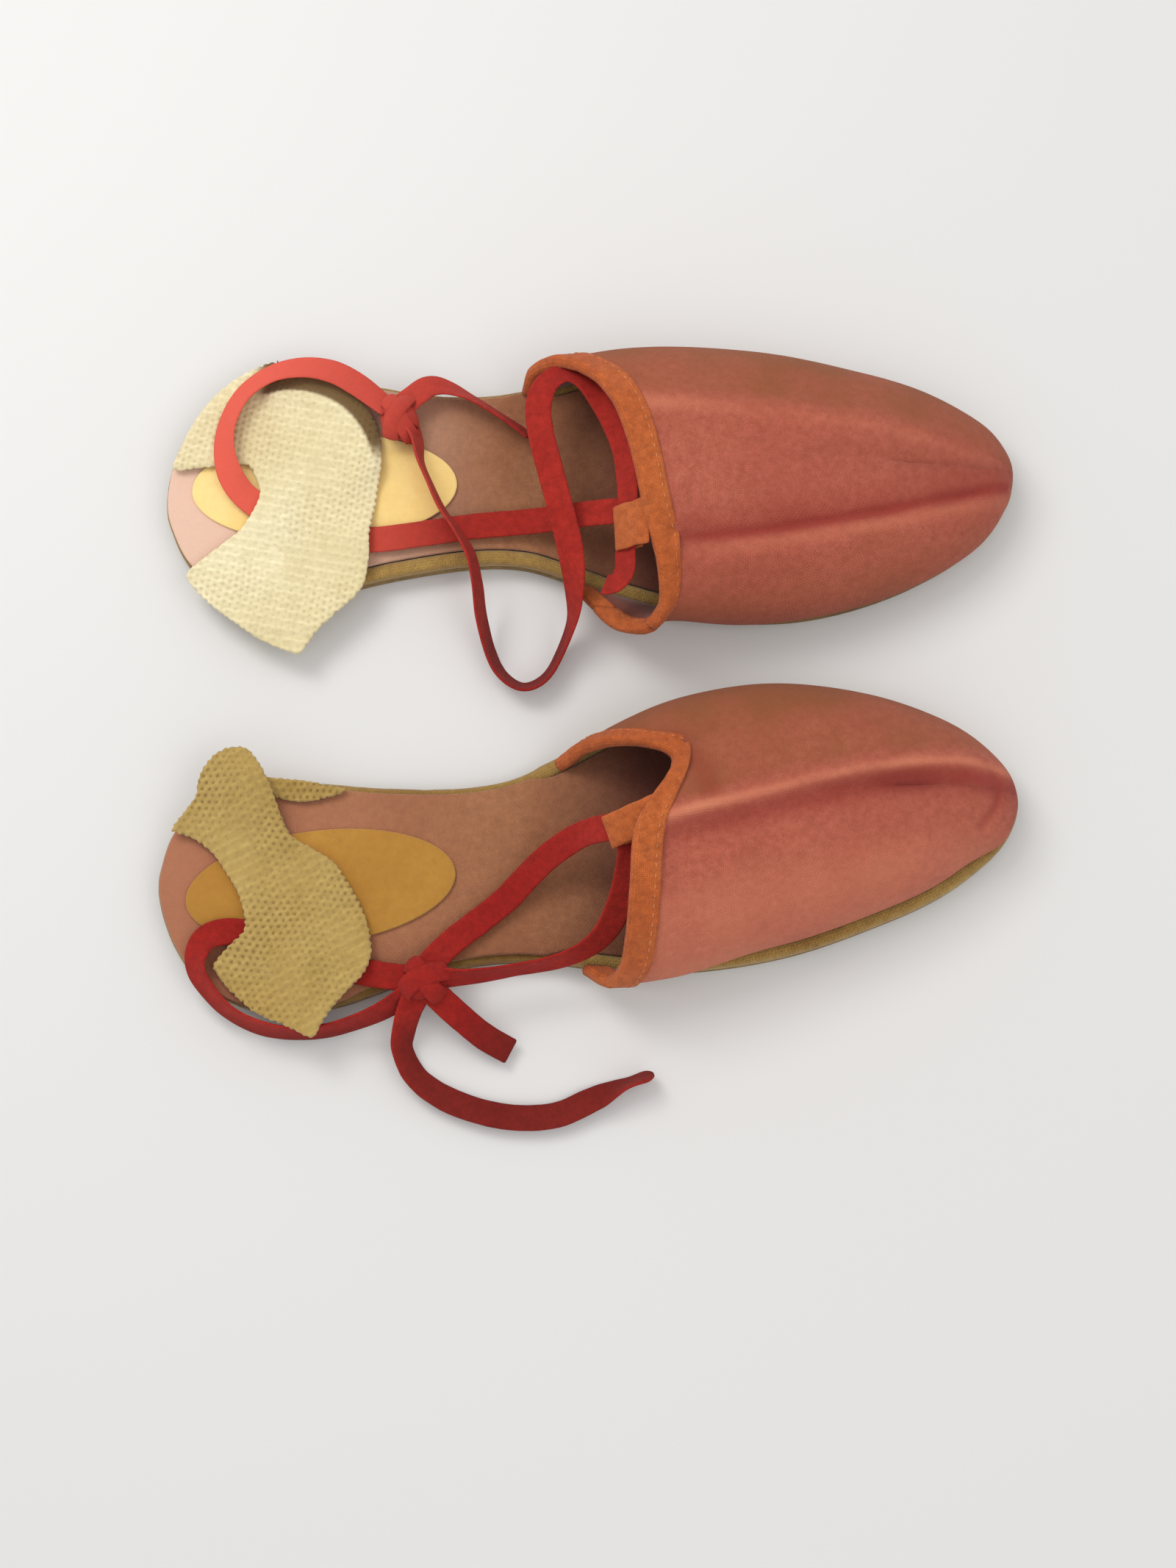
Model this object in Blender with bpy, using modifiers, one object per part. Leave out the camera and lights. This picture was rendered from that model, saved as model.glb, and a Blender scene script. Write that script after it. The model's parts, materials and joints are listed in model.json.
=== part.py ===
"""A pair of tie-on fabric bathing shoes: thin soles, canvas toe uppers, tape ties, knitted heel slings."""
import math

import bmesh
import bpy
from mathutils import Matrix, Vector

MM = 0.001

# Driving dimensions, in metres. The outline below is drawn for a shoe 250 mm long.
SHOE_LENGTH = 0.250
OUTSOLE_THICKNESS = 0.0032
BAND_WIDTH = 0.0045
BAND_HEIGHT = 0.0045
MIDSOLE_THICKNESS = 0.0025
INSOLE_THICKNESS = 0.0017
PAD_THICKNESS = 0.0007
CANVAS_THICKNESS = 0.0011
LINING_THICKNESS = 0.0007
BINDING_WIDTH = 0.006
BINDING_THICKNESS = 0.0024
THROAT_HEIGHT = 0.040
TOE_HEIGHT = 0.024
TAPE_WIDTH = 0.0078
TAPE_THICKNESS = 0.0009
SLING_THICKNESS = 0.0020
GAP = 0.0003

# Heights of the layers, from the floor up.
MIDDLE_BASE = OUTSOLE_THICKNESS + GAP
BAND_TOP = MIDDLE_BASE + BAND_HEIGHT
INSOLE_TOP = BAND_TOP
PAD_BASE = INSOLE_TOP + GAP
UPPER_BASE = BAND_TOP + GAP
SLING_BASE = PAD_BASE + PAD_THICKNESS + TAPE_THICKNESS + 2.3 * GAP

# The right shoe's outline in millimetres, heel to toe: the arch side, then the outer side.
ARCH_SIDE = [(0, 0), (1.9, 9.5), (7.2, 19.5), (18, 27), (34, 29.5), (50, 27.5), (68, 24), (88, 21.5), (104, 22),
             (118, 26.5), (135, 33), (155, 38.5), (178, 40.5), (198, 38), (218, 31.5), (236, 21.5), (247, 9.5)]
OUTER_SIDE = [(250, 0), (248, -8), (241, -16.5), (225, -26), (205, -32.5), (180, -38), (155, -39.5),
              (132, -37.5), (113, -33), (97, -30.5), (80, -31), (64, -34), (48, -37.5), (32, -38),
              (18, -33), (8.2, -24.2), (2.4, -13)]
STEPS = 3

# Where the two shoes stand: the heel's back point and the turn about the vertical.
LEFT_HEEL = (-0.1249, 0.0532)
LEFT_TURN = math.radians(1.75)
RIGHT_HEEL = (-0.1244, -0.0632)
RIGHT_TURN = math.radians(6.7)

# The topline meets the sole at these places along the shoe, and crosses the instep further forward.
THROAT_ARCH_X = 0.118
THROAT_OUTER_X = 0.112
THROAT_CREST_X = 0.138
THROAT_FULLNESS = 0.6
THROAT_BULGE = 0.0055
CREST_END_X = 0.216
FOOT_INSET = 0.0012
LINING_INSET = CANVAS_THICKNESS + 0.0006

# Joint places in a shoe's own frame: the sling's hinge line and the two knots.
SLING_HINGE = (0.060, 0.0, 0.0105)
LEFT_KNOT = (0.069, 0.0235, 0.0126)
RIGHT_KNOT = (0.074, -0.0335, 0.0126)

PAD_CENTRE = (0.047, -0.003)
PAD_HALF_LENGTH = 0.039
PAD_HALF_WIDTH = 0.0165

TAB_THICKNESS = 0.0008


def clear_scene():
    for old in list(bpy.data.objects):
        bpy.data.objects.remove(old, do_unlink=True)


def new_collection(name):
    group = bpy.data.collections.new(name)
    bpy.context.scene.collection.children.link(group)
    return group


def finish_material(name, colour, roughness):
    material = bpy.data.materials.new(name)
    material.use_nodes = True
    shader = material.node_tree.nodes["Principled BSDF"]
    shader.inputs["Base Color"].default_value = (*colour, 1.0)
    shader.inputs["Roughness"].default_value = roughness
    shader.inputs["Metallic"].default_value = 0.0
    return material


def place(item, name, material, parent):
    item.name = name
    item.data.name = name
    item.data.materials.append(material)
    item.parent = parent
    PARTS.objects.link(item)
    return item


def smooth_between(points, steps, closed):
    """Read a smooth curve through the given points, with so many steps from each point to the next."""
    count = len(points)
    spans = count if closed else count - 1
    curve = []
    for i in range(spans):
        corner = [Vector(points[(i + k) % count if closed else min(max(i + k, 0), count - 1)])
                  for k in (-1, 0, 1, 2)]
        for step in range(steps):
            t = step / steps
            curve.append(0.5 * (2 * corner[1] + (corner[2] - corner[0]) * t
                                + (2 * corner[0] - 5 * corner[1] + 4 * corner[2] - corner[3]) * t * t
                                + (3 * corner[1] - corner[0] - 3 * corner[2] + corner[3]) * t ** 3))
    if not closed:
        curve.append(Vector(points[-1]))
    return curve


def sole_outline(inset, hand):
    """The sole's edge moved inwards; hand is 1 for the right shoe and -1 for the left."""
    scale = SHOE_LENGTH / 0.250 * MM
    edge = smooth_between([(x * scale, y * scale) for x, y in ARCH_SIDE + OUTER_SIDE], STEPS, True)
    moved = []
    for i, point in enumerate(edge):
        along = (edge[(i + 1) % len(edge)] - edge[i - 1]).normalized()
        inward = Vector((along.y, -along.x))
        moved.append(point + inward * inset)
    return [Vector((p.x, p.y * hand)) for p in moved]


def flat_piece(name, loops, base, thickness, material, parent):
    """A flat outline, with any further loops as holes, filled and given its thickness."""
    drawing = bpy.data.curves.new(name, "CURVE")
    drawing.dimensions = "2D"
    drawing.fill_mode = "BOTH"
    drawing.extrude = thickness / 2
    for loop in loops:
        spline = drawing.splines.new("POLY")
        spline.points.add(len(loop) - 1)
        for point, place_at in zip(spline.points, loop):
            point.co = (place_at.x, place_at.y, 0, 1)
        spline.use_cyclic_u = True
    item = place(bpy.data.objects.new(name, drawing), name, material, parent)
    item.location = (0, 0, base + thickness / 2)
    return item


def upper_point(hand, side, along, rise, shrink, base):
    """A point on the upper: along runs from topline to toe, rise from the sole's edge to the crest."""
    edge = sole_outline(FOOT_INSET + shrink, 1)
    half = len(ARCH_SIDE) * STEPS
    if side > 0:
        run = [p for p in edge[:half + 1] if p.x > THROAT_ARCH_X]
    else:
        run = [p for p in reversed(edge[half:]) if p.x > THROAT_OUTER_X]
        run = run if run[0].x < run[-1].x else run[::-1]
    reach = along * (len(run) - 1)
    index = min(int(reach), len(run) - 2)
    foot = run[index].lerp(run[index + 1], reach - index)
    crest_x = THROAT_CREST_X + shrink * 0.5 + (CREST_END_X - THROAT_CREST_X) * along
    crest_z = THROAT_HEIGHT + (TOE_HEIGHT - THROAT_HEIGHT) * along ** 1.3 - shrink
    angle = rise * math.pi / 2
    up = math.sin(angle) ** (THROAT_FULLNESS + (1 - THROAT_FULLNESS) * min(1.0, along * 1.2))
    across = 1 - math.cos(angle)
    forward = up + (across - up) * min(1.0, along * 1.4)
    bulge = math.copysign(THROAT_BULGE, foot.y) * math.sin(2 * angle) * (1 - along) ** 2
    return Vector((foot.x + (crest_x - foot.x) * forward,
                   (foot.y * (1 - across) + bulge) * hand,
                   base + (crest_z - base) * up))


def upper_shell(name, hand, rows, shrink, base, thickness, columns, material, parent):
    """A shell over the toes, made as a grid from one foot of the arch to the other, then thickened."""
    bm = bmesh.new()
    grid = []
    for along in rows:
        line = []
        for column in range(-columns, columns + 1):
            side = 1 if column >= 0 else -1
            rise = 1 - abs(column) / columns
            line.append(bm.verts.new(upper_point(hand, side, along, rise, shrink, base)))
        grid.append(line)
    for near, far in zip(grid, grid[1:]):
        for i in range(2 * columns):
            bm.faces.new((near[i], near[i + 1], far[i + 1], far[i]))
    bmesh.ops.remove_doubles(bm, verts=bm.verts, dist=0.00002)
    bmesh.ops.recalc_face_normals(bm, faces=bm.faces)
    if sum(face.normal.z * face.calc_area() for face in bm.faces) < 0:
        bmesh.ops.reverse_faces(bm, faces=bm.faces)
    mesh = bpy.data.meshes.new(name)
    bm.to_mesh(mesh)
    bm.free()
    item = place(bpy.data.objects.new(name, mesh), name, material, parent)
    wall = item.modifiers.new("cloth thickness", "SOLIDIFY")
    wall.thickness = thickness
    wall.offset = 1
    return item


def ribbon(name, route, half_width, thickness, material, parent, steps=3):
    """A flat tape along a route of (x, y, z, stand) in mm, where stand turns it from flat to on edge."""
    path = smooth_between(route, steps, False)
    drawing = bpy.data.curves.new(name, "CURVE")
    drawing.dimensions = "3D"
    drawing.twist_mode = "Z_UP"
    drawing.fill_mode = "FULL"
    drawing.use_fill_caps = True
    drawing.bevel_depth = thickness / 2
    drawing.bevel_resolution = 0
    drawing.extrude = half_width - thickness / 2
    spline = drawing.splines.new("POLY")
    spline.points.add(len(path) - 1)
    for point, (x, y, z, stand) in zip(spline.points, path):
        point.co = (x * MM, y * MM, z * MM, 1)
        point.tilt = math.radians(90 - stand)
    return place(bpy.data.objects.new(name, drawing), name, material, parent)


def tie_knot(name, centre, size, turn, material, parent):
    """The lump where the tape is tied to itself, beside the heel sling."""
    bm = bmesh.new()
    bmesh.ops.create_uvsphere(bm, u_segments=14, v_segments=9, radius=0.5)
    bmesh.ops.scale(bm, vec=[s * MM for s in size], verts=bm.verts)
    mesh = bpy.data.meshes.new(name)
    bm.to_mesh(mesh)
    bm.free()
    mesh.shade_smooth()
    item = place(bpy.data.objects.new(name, mesh), name, material, parent)
    item.location = centre
    item.rotation_euler = (0, 0, math.radians(turn))
    return item


def sole_pieces(prefix, hand, parent):
    """Outsole, rolled edge band, filler board, insole and heel pad, stacked from the floor."""
    outer = sole_outline(0.0, hand)
    inside = BAND_WIDTH + GAP
    flat_piece(prefix + "outsole", [outer], 0.0, OUTSOLE_THICKNESS, RUBBER, parent)
    flat_piece(prefix + "edge_band", [outer, sole_outline(BAND_WIDTH, hand)], MIDDLE_BASE, BAND_HEIGHT,
               EDGE_CLOTH, parent)
    flat_piece(prefix + "midsole", [sole_outline(inside, hand)], MIDDLE_BASE, MIDSOLE_THICKNESS, BOARD, parent)
    flat_piece(prefix + "insole", [sole_outline(inside, hand)], INSOLE_TOP - INSOLE_THICKNESS,
               INSOLE_THICKNESS, INSOLE_CLOTH, parent)
    oval = []
    for i in range(40):
        angle = math.tau * i / 40
        oval.append(Vector((PAD_CENTRE[0] + PAD_HALF_LENGTH * math.cos(angle),
                            (PAD_CENTRE[1] + PAD_HALF_WIDTH * math.sin(angle)) * hand)))
    flat_piece(prefix + "heel_pad", [oval], PAD_BASE, PAD_THICKNESS, PAD_FELT, parent)


def upper_pieces(prefix, hand, parent):
    """Canvas upper with its lining and the folded binding that edges the throat."""
    bound = 0.075
    rows = [bound + (1 - bound) * math.sin(i / 11 * math.pi / 2) for i in range(12)]
    upper_shell(prefix + "vamp", hand, rows, 0.0, UPPER_BASE, CANVAS_THICKNESS, 8, CANVAS, parent)
    upper_shell(prefix + "vamp_lining", hand, rows, LINING_INSET, UPPER_BASE, LINING_THICKNESS, 8, LINING, parent)
    edge = [0.0, 0.5 * bound - 0.003, bound - 0.012]
    foot = UPPER_BASE + BINDING_THICKNESS / 2
    binding = upper_shell(prefix + "topline_binding", hand, edge, 0.0, foot, BINDING_THICKNESS, 10, BINDING,
                          parent)
    binding.modifiers["cloth thickness"].offset = 0


def throat_tab(name, root, length, half_width, turn, parent):
    """A loop of binding that hangs from the topline towards the heel, with the tie tape through it."""
    profile = [(0, 0), (0.5, -0.42), (0.92, -0.82), (1.02, -1.04), (0.88, -1.10), (0.5, -0.80), (0.18, -0.52)]
    swing = Matrix.Rotation(math.radians(180 + turn), 3, "Z")
    route = []
    for reach, drop in profile:
        point = swing @ Vector((reach * length, 0, drop * length))
        route.append((root[0] + point.x, root[1] + point.y, root[2] + point.z, 0))
    ribbon(name, route, half_width * MM, TAB_THICKNESS, BINDING, parent, 2)


def left_ties(parent):
    """One tape: through the loop, under the sling, round the heel, knotted, and back over the instep."""
    ribbon("left_heel_tape",
           [(131, -10.3, 22.5, 0), (127, -10.2, 20.8, 0), (120, -10, 17.2, 0), (112, -10, 13.6, 0),
            (103, -10, 10.9, 0), (90, -10.5, 9.9, 0), (77, -12, 9.8, 0), (61, -13.5, 9.8, 0),
            (47, -12, 9.8, 0), (35, -6.5, 9.8, 0), (28, -2.8, 10.0, 0), (22.5, 2, 11.8, 0), (19.3, 8, 13.6, 0),
            (18.2, 15, 13.8, 0), (19.5, 23, 13.7, 0), (24, 31, 13.6, 0), (32, 36.5, 13.6, 0), (41, 38.5, 13.6, 0),
            (50, 37.5, 13.6, 0), (57, 34, 13.4, 0), (62, 30.5, 13.2, 0)],
           TAPE_WIDTH / 2, TAPE_THICKNESS, TAPE, parent)
    ribbon("left_loop_tape",
           [(75.5, 15.8, 13.5, 80), (76.5, 9, 13.8, 88), (79, 2, 13.8, 90), (82, -6, 14.2, 90),
            (86, -13, 14.2, 90), (89.5, -20, 14, 90), (91, -28, 13.2, 90), (92, -37, 8.5, 90),
            (93.5, -46, 4.4, 90), (97, -54, 4.3, 90), (103.5, -58, 4.3, 90), (110, -55, 4.3, 90),
            (114.5, -47, 4.8, 86), (117, -38, 11, 70), (118, -30, 16.5, 45), (118, -20, 20.5, 10),
            (116.5, -10, 23.5, 0), (114, 0, 24.8, 0), (112, 11, 25, 0), (113, 19.5, 25, 10),
            (118, 24, 25, 30), (124, 22, 26, 35), (129, 16.5, 27.5, -30), (131, 8, 29, -36),
            (130.2, 0, 29.4, -40), (129.2, -8, 29, -42), (129, -16, 28.9, -42), (128.9, -23.6, 28.7, -42)],
           TAPE_WIDTH / 2, TAPE_THICKNESS, TAPE, parent)
    ribbon("left_bow_end",
           [(75, 29, 13, 15), (79, 31.6, 12.6, 20), (84, 31, 12.4, 45), (90, 28, 12.6, 75),
            (97, 23.5, 12.8, 85), (104, 18.5, 12.8, 80)],
           TAPE_WIDTH / 2, TAPE_THICKNESS, TAPE, parent)
    tie_knot("left_tie_knot", LEFT_KNOT, (13.5, 10, 7.2), 20, TAPE, parent)


def right_ties(parent):
    """One tape: two straps from the loop to the knot, the run round the heel, and two free ends."""
    ribbon("right_upper_strap",
           [(129.2, -1.5, 29.4, 42), (129.1, 4.8, 29.3, 42), (127.2, 10.8, 27.5, 30), (121.5, 12, 23.5, 0),
            (114, 5, 17.5, 0), (107, -4.5, 13.2, 0),
            (98, -13, 10.8, 0), (88, -20, 10, 0), (80, -26, 10.4, 0)],
           TAPE_WIDTH / 2, TAPE_THICKNESS, TAPE, parent)
    ribbon("right_lower_strap",
           [(129.4, -3.2, 29.2, 42), (129.8, -9.5, 26.5, 35), (128.5, -15.5, 20.5, 30), (124, -22, 15, 45),
            (117, -26.8, 12.9, 70), (108, -28.6, 12.6, 85), (98, -28.8, 12.6, 90), (89, -30, 12.6, 90),
            (82.5, -31.5, 12.8, 90)],
           TAPE_WIDTH / 2, TAPE_THICKNESS, TAPE, parent)
    ribbon("right_heel_tape",
           [(68, -37.5, 11, 60), (60, -40.3, 9, 80), (51, -42.5, 7.5, 90), (42, -43.5, 7, 90),
            (32, -42.6, 7, 90), (22.5, -39, 7.6, 88), (14.5, -32, 9, 75), (9.5, -23, 10.8, 45),
            (11.5, -15.5, 11.2, 15), (17, -12.8, 10.1, 0), (25, -14, 9.8, 0), (33, -18.5, 9.8, 0),
            (43, -23.8, 9.8, 0), (54, -28, 9.8, 0), (64.5, -31.2, 9.9, 0)],
           TAPE_WIDTH / 2, TAPE_THICKNESS, TAPE, parent)
    ribbon("right_short_end",
           [(78.5, -40, 10.6, 0), (83, -45, 8.6, 0), (89, -51, 5.5, 0), (96, -56, 3, 0)],
           TAPE_WIDTH / 2, TAPE_THICKNESS, TAPE, parent)
    ribbon("right_long_end",
           [(67.5, -42.5, 9, 30), (66, -47, 6.5, 35), (65, -52, 4.6, 40), (68, -60, 3.4, 30),
            (75, -66.5, 2.8, 20), (85, -71.8, 2.6, 15), (96, -75, 2.6, 15), (107, -75.4, 2.6, 15),
            (117, -72.5, 2.8, 20), (126, -69.6, 3.4, 40), (135, -67.8, 4.2, 60)],
           TAPE_WIDTH / 2, TAPE_THICKNESS, TAPE, parent)
    tie_knot("right_tie_knot", RIGHT_KNOT, (15, 10.5, 7.2), -8, TAPE, parent)


def knitted_sling(name, outline, parent):
    """The band of knit that lies across the heel, drawn as a flat pad of the cloth's thickness."""
    loop = smooth_between([(x * MM, y * MM) for x, y in outline], 3, True)
    flat_piece(name, [loop], SLING_BASE, SLING_THICKNESS, KNIT, parent)


def shoe_frame(name, heel, turn):
    """An empty at the heel's back point that carries one shoe."""
    frame = bpy.data.objects.new(name, None)
    frame.matrix_world = Matrix.Translation((heel[0], heel[1], 0)) @ Matrix.Rotation(turn, 4, "Z")
    PARTS.objects.link(frame)
    return frame


def hang_on_pivot(name, place_at, parent, pieces):
    """Put moving pieces on an empty that stands on their joint's axis."""
    pivot = bpy.data.objects.new(name, None)
    pivot.location = place_at
    pivot.parent = parent
    PARTS.objects.link(pivot)
    for piece in pieces:
        item = bpy.data.objects[piece]
        item.parent = pivot
        item.matrix_parent_inverse = Matrix.Translation(-Vector(place_at))


clear_scene()
PARTS = new_collection("bathing_shoes")
RUBBER = finish_material("sole_rubber", (0.30, 0.23, 0.09), 0.7)
EDGE_CLOTH = finish_material("edge_cloth", (0.38, 0.26, 0.09), 0.85)
BOARD = finish_material("filler_board", (0.35, 0.26, 0.17), 0.9)
INSOLE_CLOTH = finish_material("insole_cloth", (0.42, 0.17, 0.12), 0.85)
PAD_FELT = finish_material("pad_felt", (0.62, 0.38, 0.10), 0.9)
CANVAS = finish_material("canvas", (0.52, 0.15, 0.11), 0.9)
LINING = finish_material("lining_cloth", (0.50, 0.20, 0.13), 0.9)
BINDING = finish_material("binding_tape", (0.50, 0.14, 0.02), 0.8)
TAPE = finish_material("tie_tape", (0.42, 0.02, 0.02), 0.8)
KNIT = finish_material("cotton_knit", (0.78, 0.62, 0.30), 0.95)

left_frame = shoe_frame("left_shoe_frame", LEFT_HEEL, LEFT_TURN)
right_frame = shoe_frame("right_shoe_frame", RIGHT_HEEL, RIGHT_TURN)
for prefix, hand, shoe in (("left_", -1, left_frame), ("right_", 1, right_frame)):
    sole_pieces(prefix, hand, shoe)
    upper_pieces(prefix, hand, shoe)
throat_tab("left_throat_tab", (133.8, -16.2, 34.8), 9.6, 7.2, 2, left_frame)
throat_tab("right_throat_tab", (135.6, 2.5, 36.8), 12.5, 4.6, -6, right_frame)
left_ties(left_frame)
right_ties(right_frame)
knitted_sling("left_heel_sling",
              [(3, 9), (9, 22), (18, 32), (30, 36), (42, 33.5), (54, 27.5), (60, 16), (61, 2), (58, -10),
               (58, -24), (50, -35), (38, -46), (27, -41), (12, -29), (7, -22), (17, -13), (28, -8), (31, 2),
               (25, 9.5), (12, 9.5)],
              left_frame)
knitted_sling("right_heel_sling",
              [(7, 17), (14, 27), (19, 35), (30, 37), (36, 29), (41, 15), (52, 4), (59, -12), (60, -24),
               (53, -34), (42, -39), (29, -37), (18, -27), (16, -20), (24, -12), (21, 2), (13, 14)],
              right_frame)
hang_on_pivot("left_sling_hinge", SLING_HINGE, left_frame, ["left_heel_sling"])
hang_on_pivot("right_sling_hinge", SLING_HINGE, right_frame, ["right_heel_sling"])
hang_on_pivot("right_short_end_pivot", RIGHT_KNOT, right_frame, ["right_short_end"])
hang_on_pivot("right_long_end_pivot", RIGHT_KNOT, right_frame, ["right_long_end"])
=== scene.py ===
"""A pair of tie-on fabric bathing shoes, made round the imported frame. Metres, +X to the toes, +Z up."""
import json
import math

import bmesh
import bpy
import numpy as np
from mathutils import Matrix, Vector, noise


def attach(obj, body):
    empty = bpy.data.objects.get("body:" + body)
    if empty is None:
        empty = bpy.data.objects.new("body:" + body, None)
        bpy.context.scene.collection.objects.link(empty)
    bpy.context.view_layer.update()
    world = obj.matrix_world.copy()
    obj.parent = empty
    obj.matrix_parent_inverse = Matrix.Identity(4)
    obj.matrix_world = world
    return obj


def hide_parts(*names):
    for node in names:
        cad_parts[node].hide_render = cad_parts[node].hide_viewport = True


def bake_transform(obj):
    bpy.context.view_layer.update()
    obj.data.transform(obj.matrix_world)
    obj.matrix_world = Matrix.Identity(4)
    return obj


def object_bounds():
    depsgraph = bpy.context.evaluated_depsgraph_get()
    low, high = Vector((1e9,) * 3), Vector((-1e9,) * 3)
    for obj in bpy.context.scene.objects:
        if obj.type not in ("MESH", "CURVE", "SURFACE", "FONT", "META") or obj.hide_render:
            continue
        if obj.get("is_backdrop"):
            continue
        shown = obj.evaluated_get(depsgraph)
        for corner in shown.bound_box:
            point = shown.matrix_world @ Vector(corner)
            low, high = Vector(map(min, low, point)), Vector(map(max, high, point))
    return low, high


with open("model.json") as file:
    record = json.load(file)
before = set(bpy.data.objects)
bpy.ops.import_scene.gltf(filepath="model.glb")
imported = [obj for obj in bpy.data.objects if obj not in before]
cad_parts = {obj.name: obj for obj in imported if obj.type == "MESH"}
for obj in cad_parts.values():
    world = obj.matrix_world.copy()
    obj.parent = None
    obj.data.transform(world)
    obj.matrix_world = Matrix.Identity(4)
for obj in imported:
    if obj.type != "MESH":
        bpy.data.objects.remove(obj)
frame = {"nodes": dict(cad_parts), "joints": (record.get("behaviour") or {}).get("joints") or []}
cad_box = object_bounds()
for node in frame["nodes"].values():
    node.select_set(False)
bpy.context.scene.view_settings.view_transform = "Standard"
MM = 0.001

# The view: almost straight down on the pair, from a little on the right shoe's side.
CAMERA_AIM = Vector((-0.0005, -0.0293, 0.0))
CAMERA_DISTANCE = 0.80
CAMERA_LEAN = math.radians(9.0)
SEEN_LENGTH = 0.4586
SENSOR = 36.0

lens_data = bpy.data.cameras.new("studio_camera")
lens_data.sensor_width = SENSOR
lens_data.lens = SENSOR * CAMERA_DISTANCE / SEEN_LENGTH
camera = bpy.data.objects.new("studio_camera", lens_data)
bpy.context.scene.collection.objects.link(camera)
camera.location = CAMERA_AIM + CAMERA_DISTANCE * Vector((0, -math.sin(CAMERA_LEAN), math.cos(CAMERA_LEAN)))
camera.rotation_euler = (CAMERA_LEAN, 0, 0)
bpy.context.scene.camera = camera


# The studio: a pale floor, a soft sky, one broad lamp over the heels and a weaker one over the toes.
def plain_material(name, colour, roughness):
    material = bpy.data.materials.new(name)
    material.use_nodes = True
    shader = material.node_tree.nodes["Principled BSDF"]
    shader.inputs["Base Color"].default_value = colour
    shader.inputs["Roughness"].default_value = roughness
    return material


bpy.ops.mesh.primitive_plane_add(size=8.0, location=(0, 0, 0))
floor = bpy.context.object
floor.name = "studio_floor"
floor.data.materials.append(plain_material("floor_paper", (0.70, 0.70, 0.705, 1), 0.9))
floor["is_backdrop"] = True

sky = bpy.data.worlds.new("studio_sky")
sky.use_nodes = True
sky.node_tree.nodes["Background"].inputs["Color"].default_value = (1.0, 0.99, 0.975, 1)
sky.node_tree.nodes["Background"].inputs["Strength"].default_value = 0.80
bpy.context.scene.world = sky

for lamp_name, place, size, power, aim in (("key_lamp", (-0.55, 0.65, 1.1), 0.7, 5.6, (0.0, 0.0)),
                                           ("heel_lamp", (-0.30, 0.26, 0.42), 0.16, 0.42, (-0.08, 0.05)),
                                           ("toe_lamp", (0.7, -0.4, 1.2), 0.9, 2.6, (0.0, 0.0))):
    lamp_data = bpy.data.lights.new(lamp_name, "AREA")
    lamp_data.size = size
    lamp_data.energy = power
    lamp_data.color = (1.0, 0.965, 0.92)
    lamp = bpy.data.objects.new(lamp_name, lamp_data)
    lamp.location = place
    lamp.rotation_euler = (Vector((*aim, 0.0)) - Vector(place)).to_track_quat("-Z", "Y").to_euler()
    bpy.context.scene.collection.objects.link(lamp)


# Where each shoe stands: its own frame has the heel's back point at its origin and the toes along +X.
SLING_HINGE = Vector((0.060, 0.0, 0.0105))


def shoe_place(joint_name):
    joint = next(j for j in frame["joints"] if j["name"] == joint_name)
    across = Vector(joint["axis"]).normalized()
    up = Vector((0, 0, 1))
    place = Matrix((across.cross(up), across, up)).transposed().to_4x4()
    place.translation = Vector(joint["pos_m"]) - place.to_3x3() @ SLING_HINGE
    return place


PLACES = {"left": shoe_place("left_sling_lift"), "right": shoe_place("right_sling_lift")}
HANDS = {"left": -1, "right": 1}


# Outsole. A thin sheet of aged rubber, cut to the sole's shape and worn round at its rim. The whole shoe is
# built up on it, and it carries everything else.
def smooth_path(points, steps, closed=False):
    """A smooth curve through the points, as an array, with so many steps from each point to the next."""
    given = np.array(points, float)
    count = len(given)
    spans = count if closed else count - 1
    t = np.arange(steps)[:, None] / steps
    parts = []
    for i in range(spans):
        a, b, c, d = (given[(i + k) % count] if closed else given[min(max(i + k, 0), count - 1)]
                      for k in (-1, 0, 1, 2))
        parts.append(0.5 * (2 * b + (c - a) * t + (2 * a - 5 * b + 4 * c - d) * t ** 2
                            + (3 * b - a - 3 * c + d) * t ** 3))
    if not closed:
        parts.append(given[-1:])
    return np.concatenate(parts)


OUTSOLE_THICKNESS = 0.0032
OUTSOLE_ROUNDING = 0.0009
ARCH_SIDE = [(0, 0), (1.9, 9.5), (7.2, 19.5), (18, 27), (34, 29.5), (50, 27.5), (68, 24), (88, 21.5),
             (104, 22), (118, 26.5), (135, 33), (155, 38.5), (178, 40.5), (198, 38), (218, 31.5),
             (236, 21.5), (247, 9.5)]
OUTER_SIDE = [(250, 0), (248, -8), (241, -16.5), (225, -26), (205, -32.5), (180, -38), (155, -39.5),
              (132, -37.5), (113, -33), (97, -30.5), (80, -31), (64, -34), (48, -37.5), (32, -38),
              (18, -33), (8.2, -24.2), (2.4, -13)]
EDGE_STEPS = 7
SOLE_OUTLINE = smooth_path(np.array(ARCH_SIDE + OUTER_SIDE) * MM, EDGE_STEPS, closed=True)


def sole_edge(inset, side):
    """The sole's edge in the shoe's frame, moved inwards by one inset or by one for each point of it."""
    along = np.roll(SOLE_OUTLINE, -1, axis=0) - np.roll(SOLE_OUTLINE, 1, axis=0)
    along /= np.linalg.norm(along, axis=1)[:, None]
    moved = SOLE_OUTLINE + np.stack([along[:, 1], -along[:, 0]], axis=1) * np.reshape(inset, (-1, 1))
    moved[:, 1] *= HANDS[side]
    return moved


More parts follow.
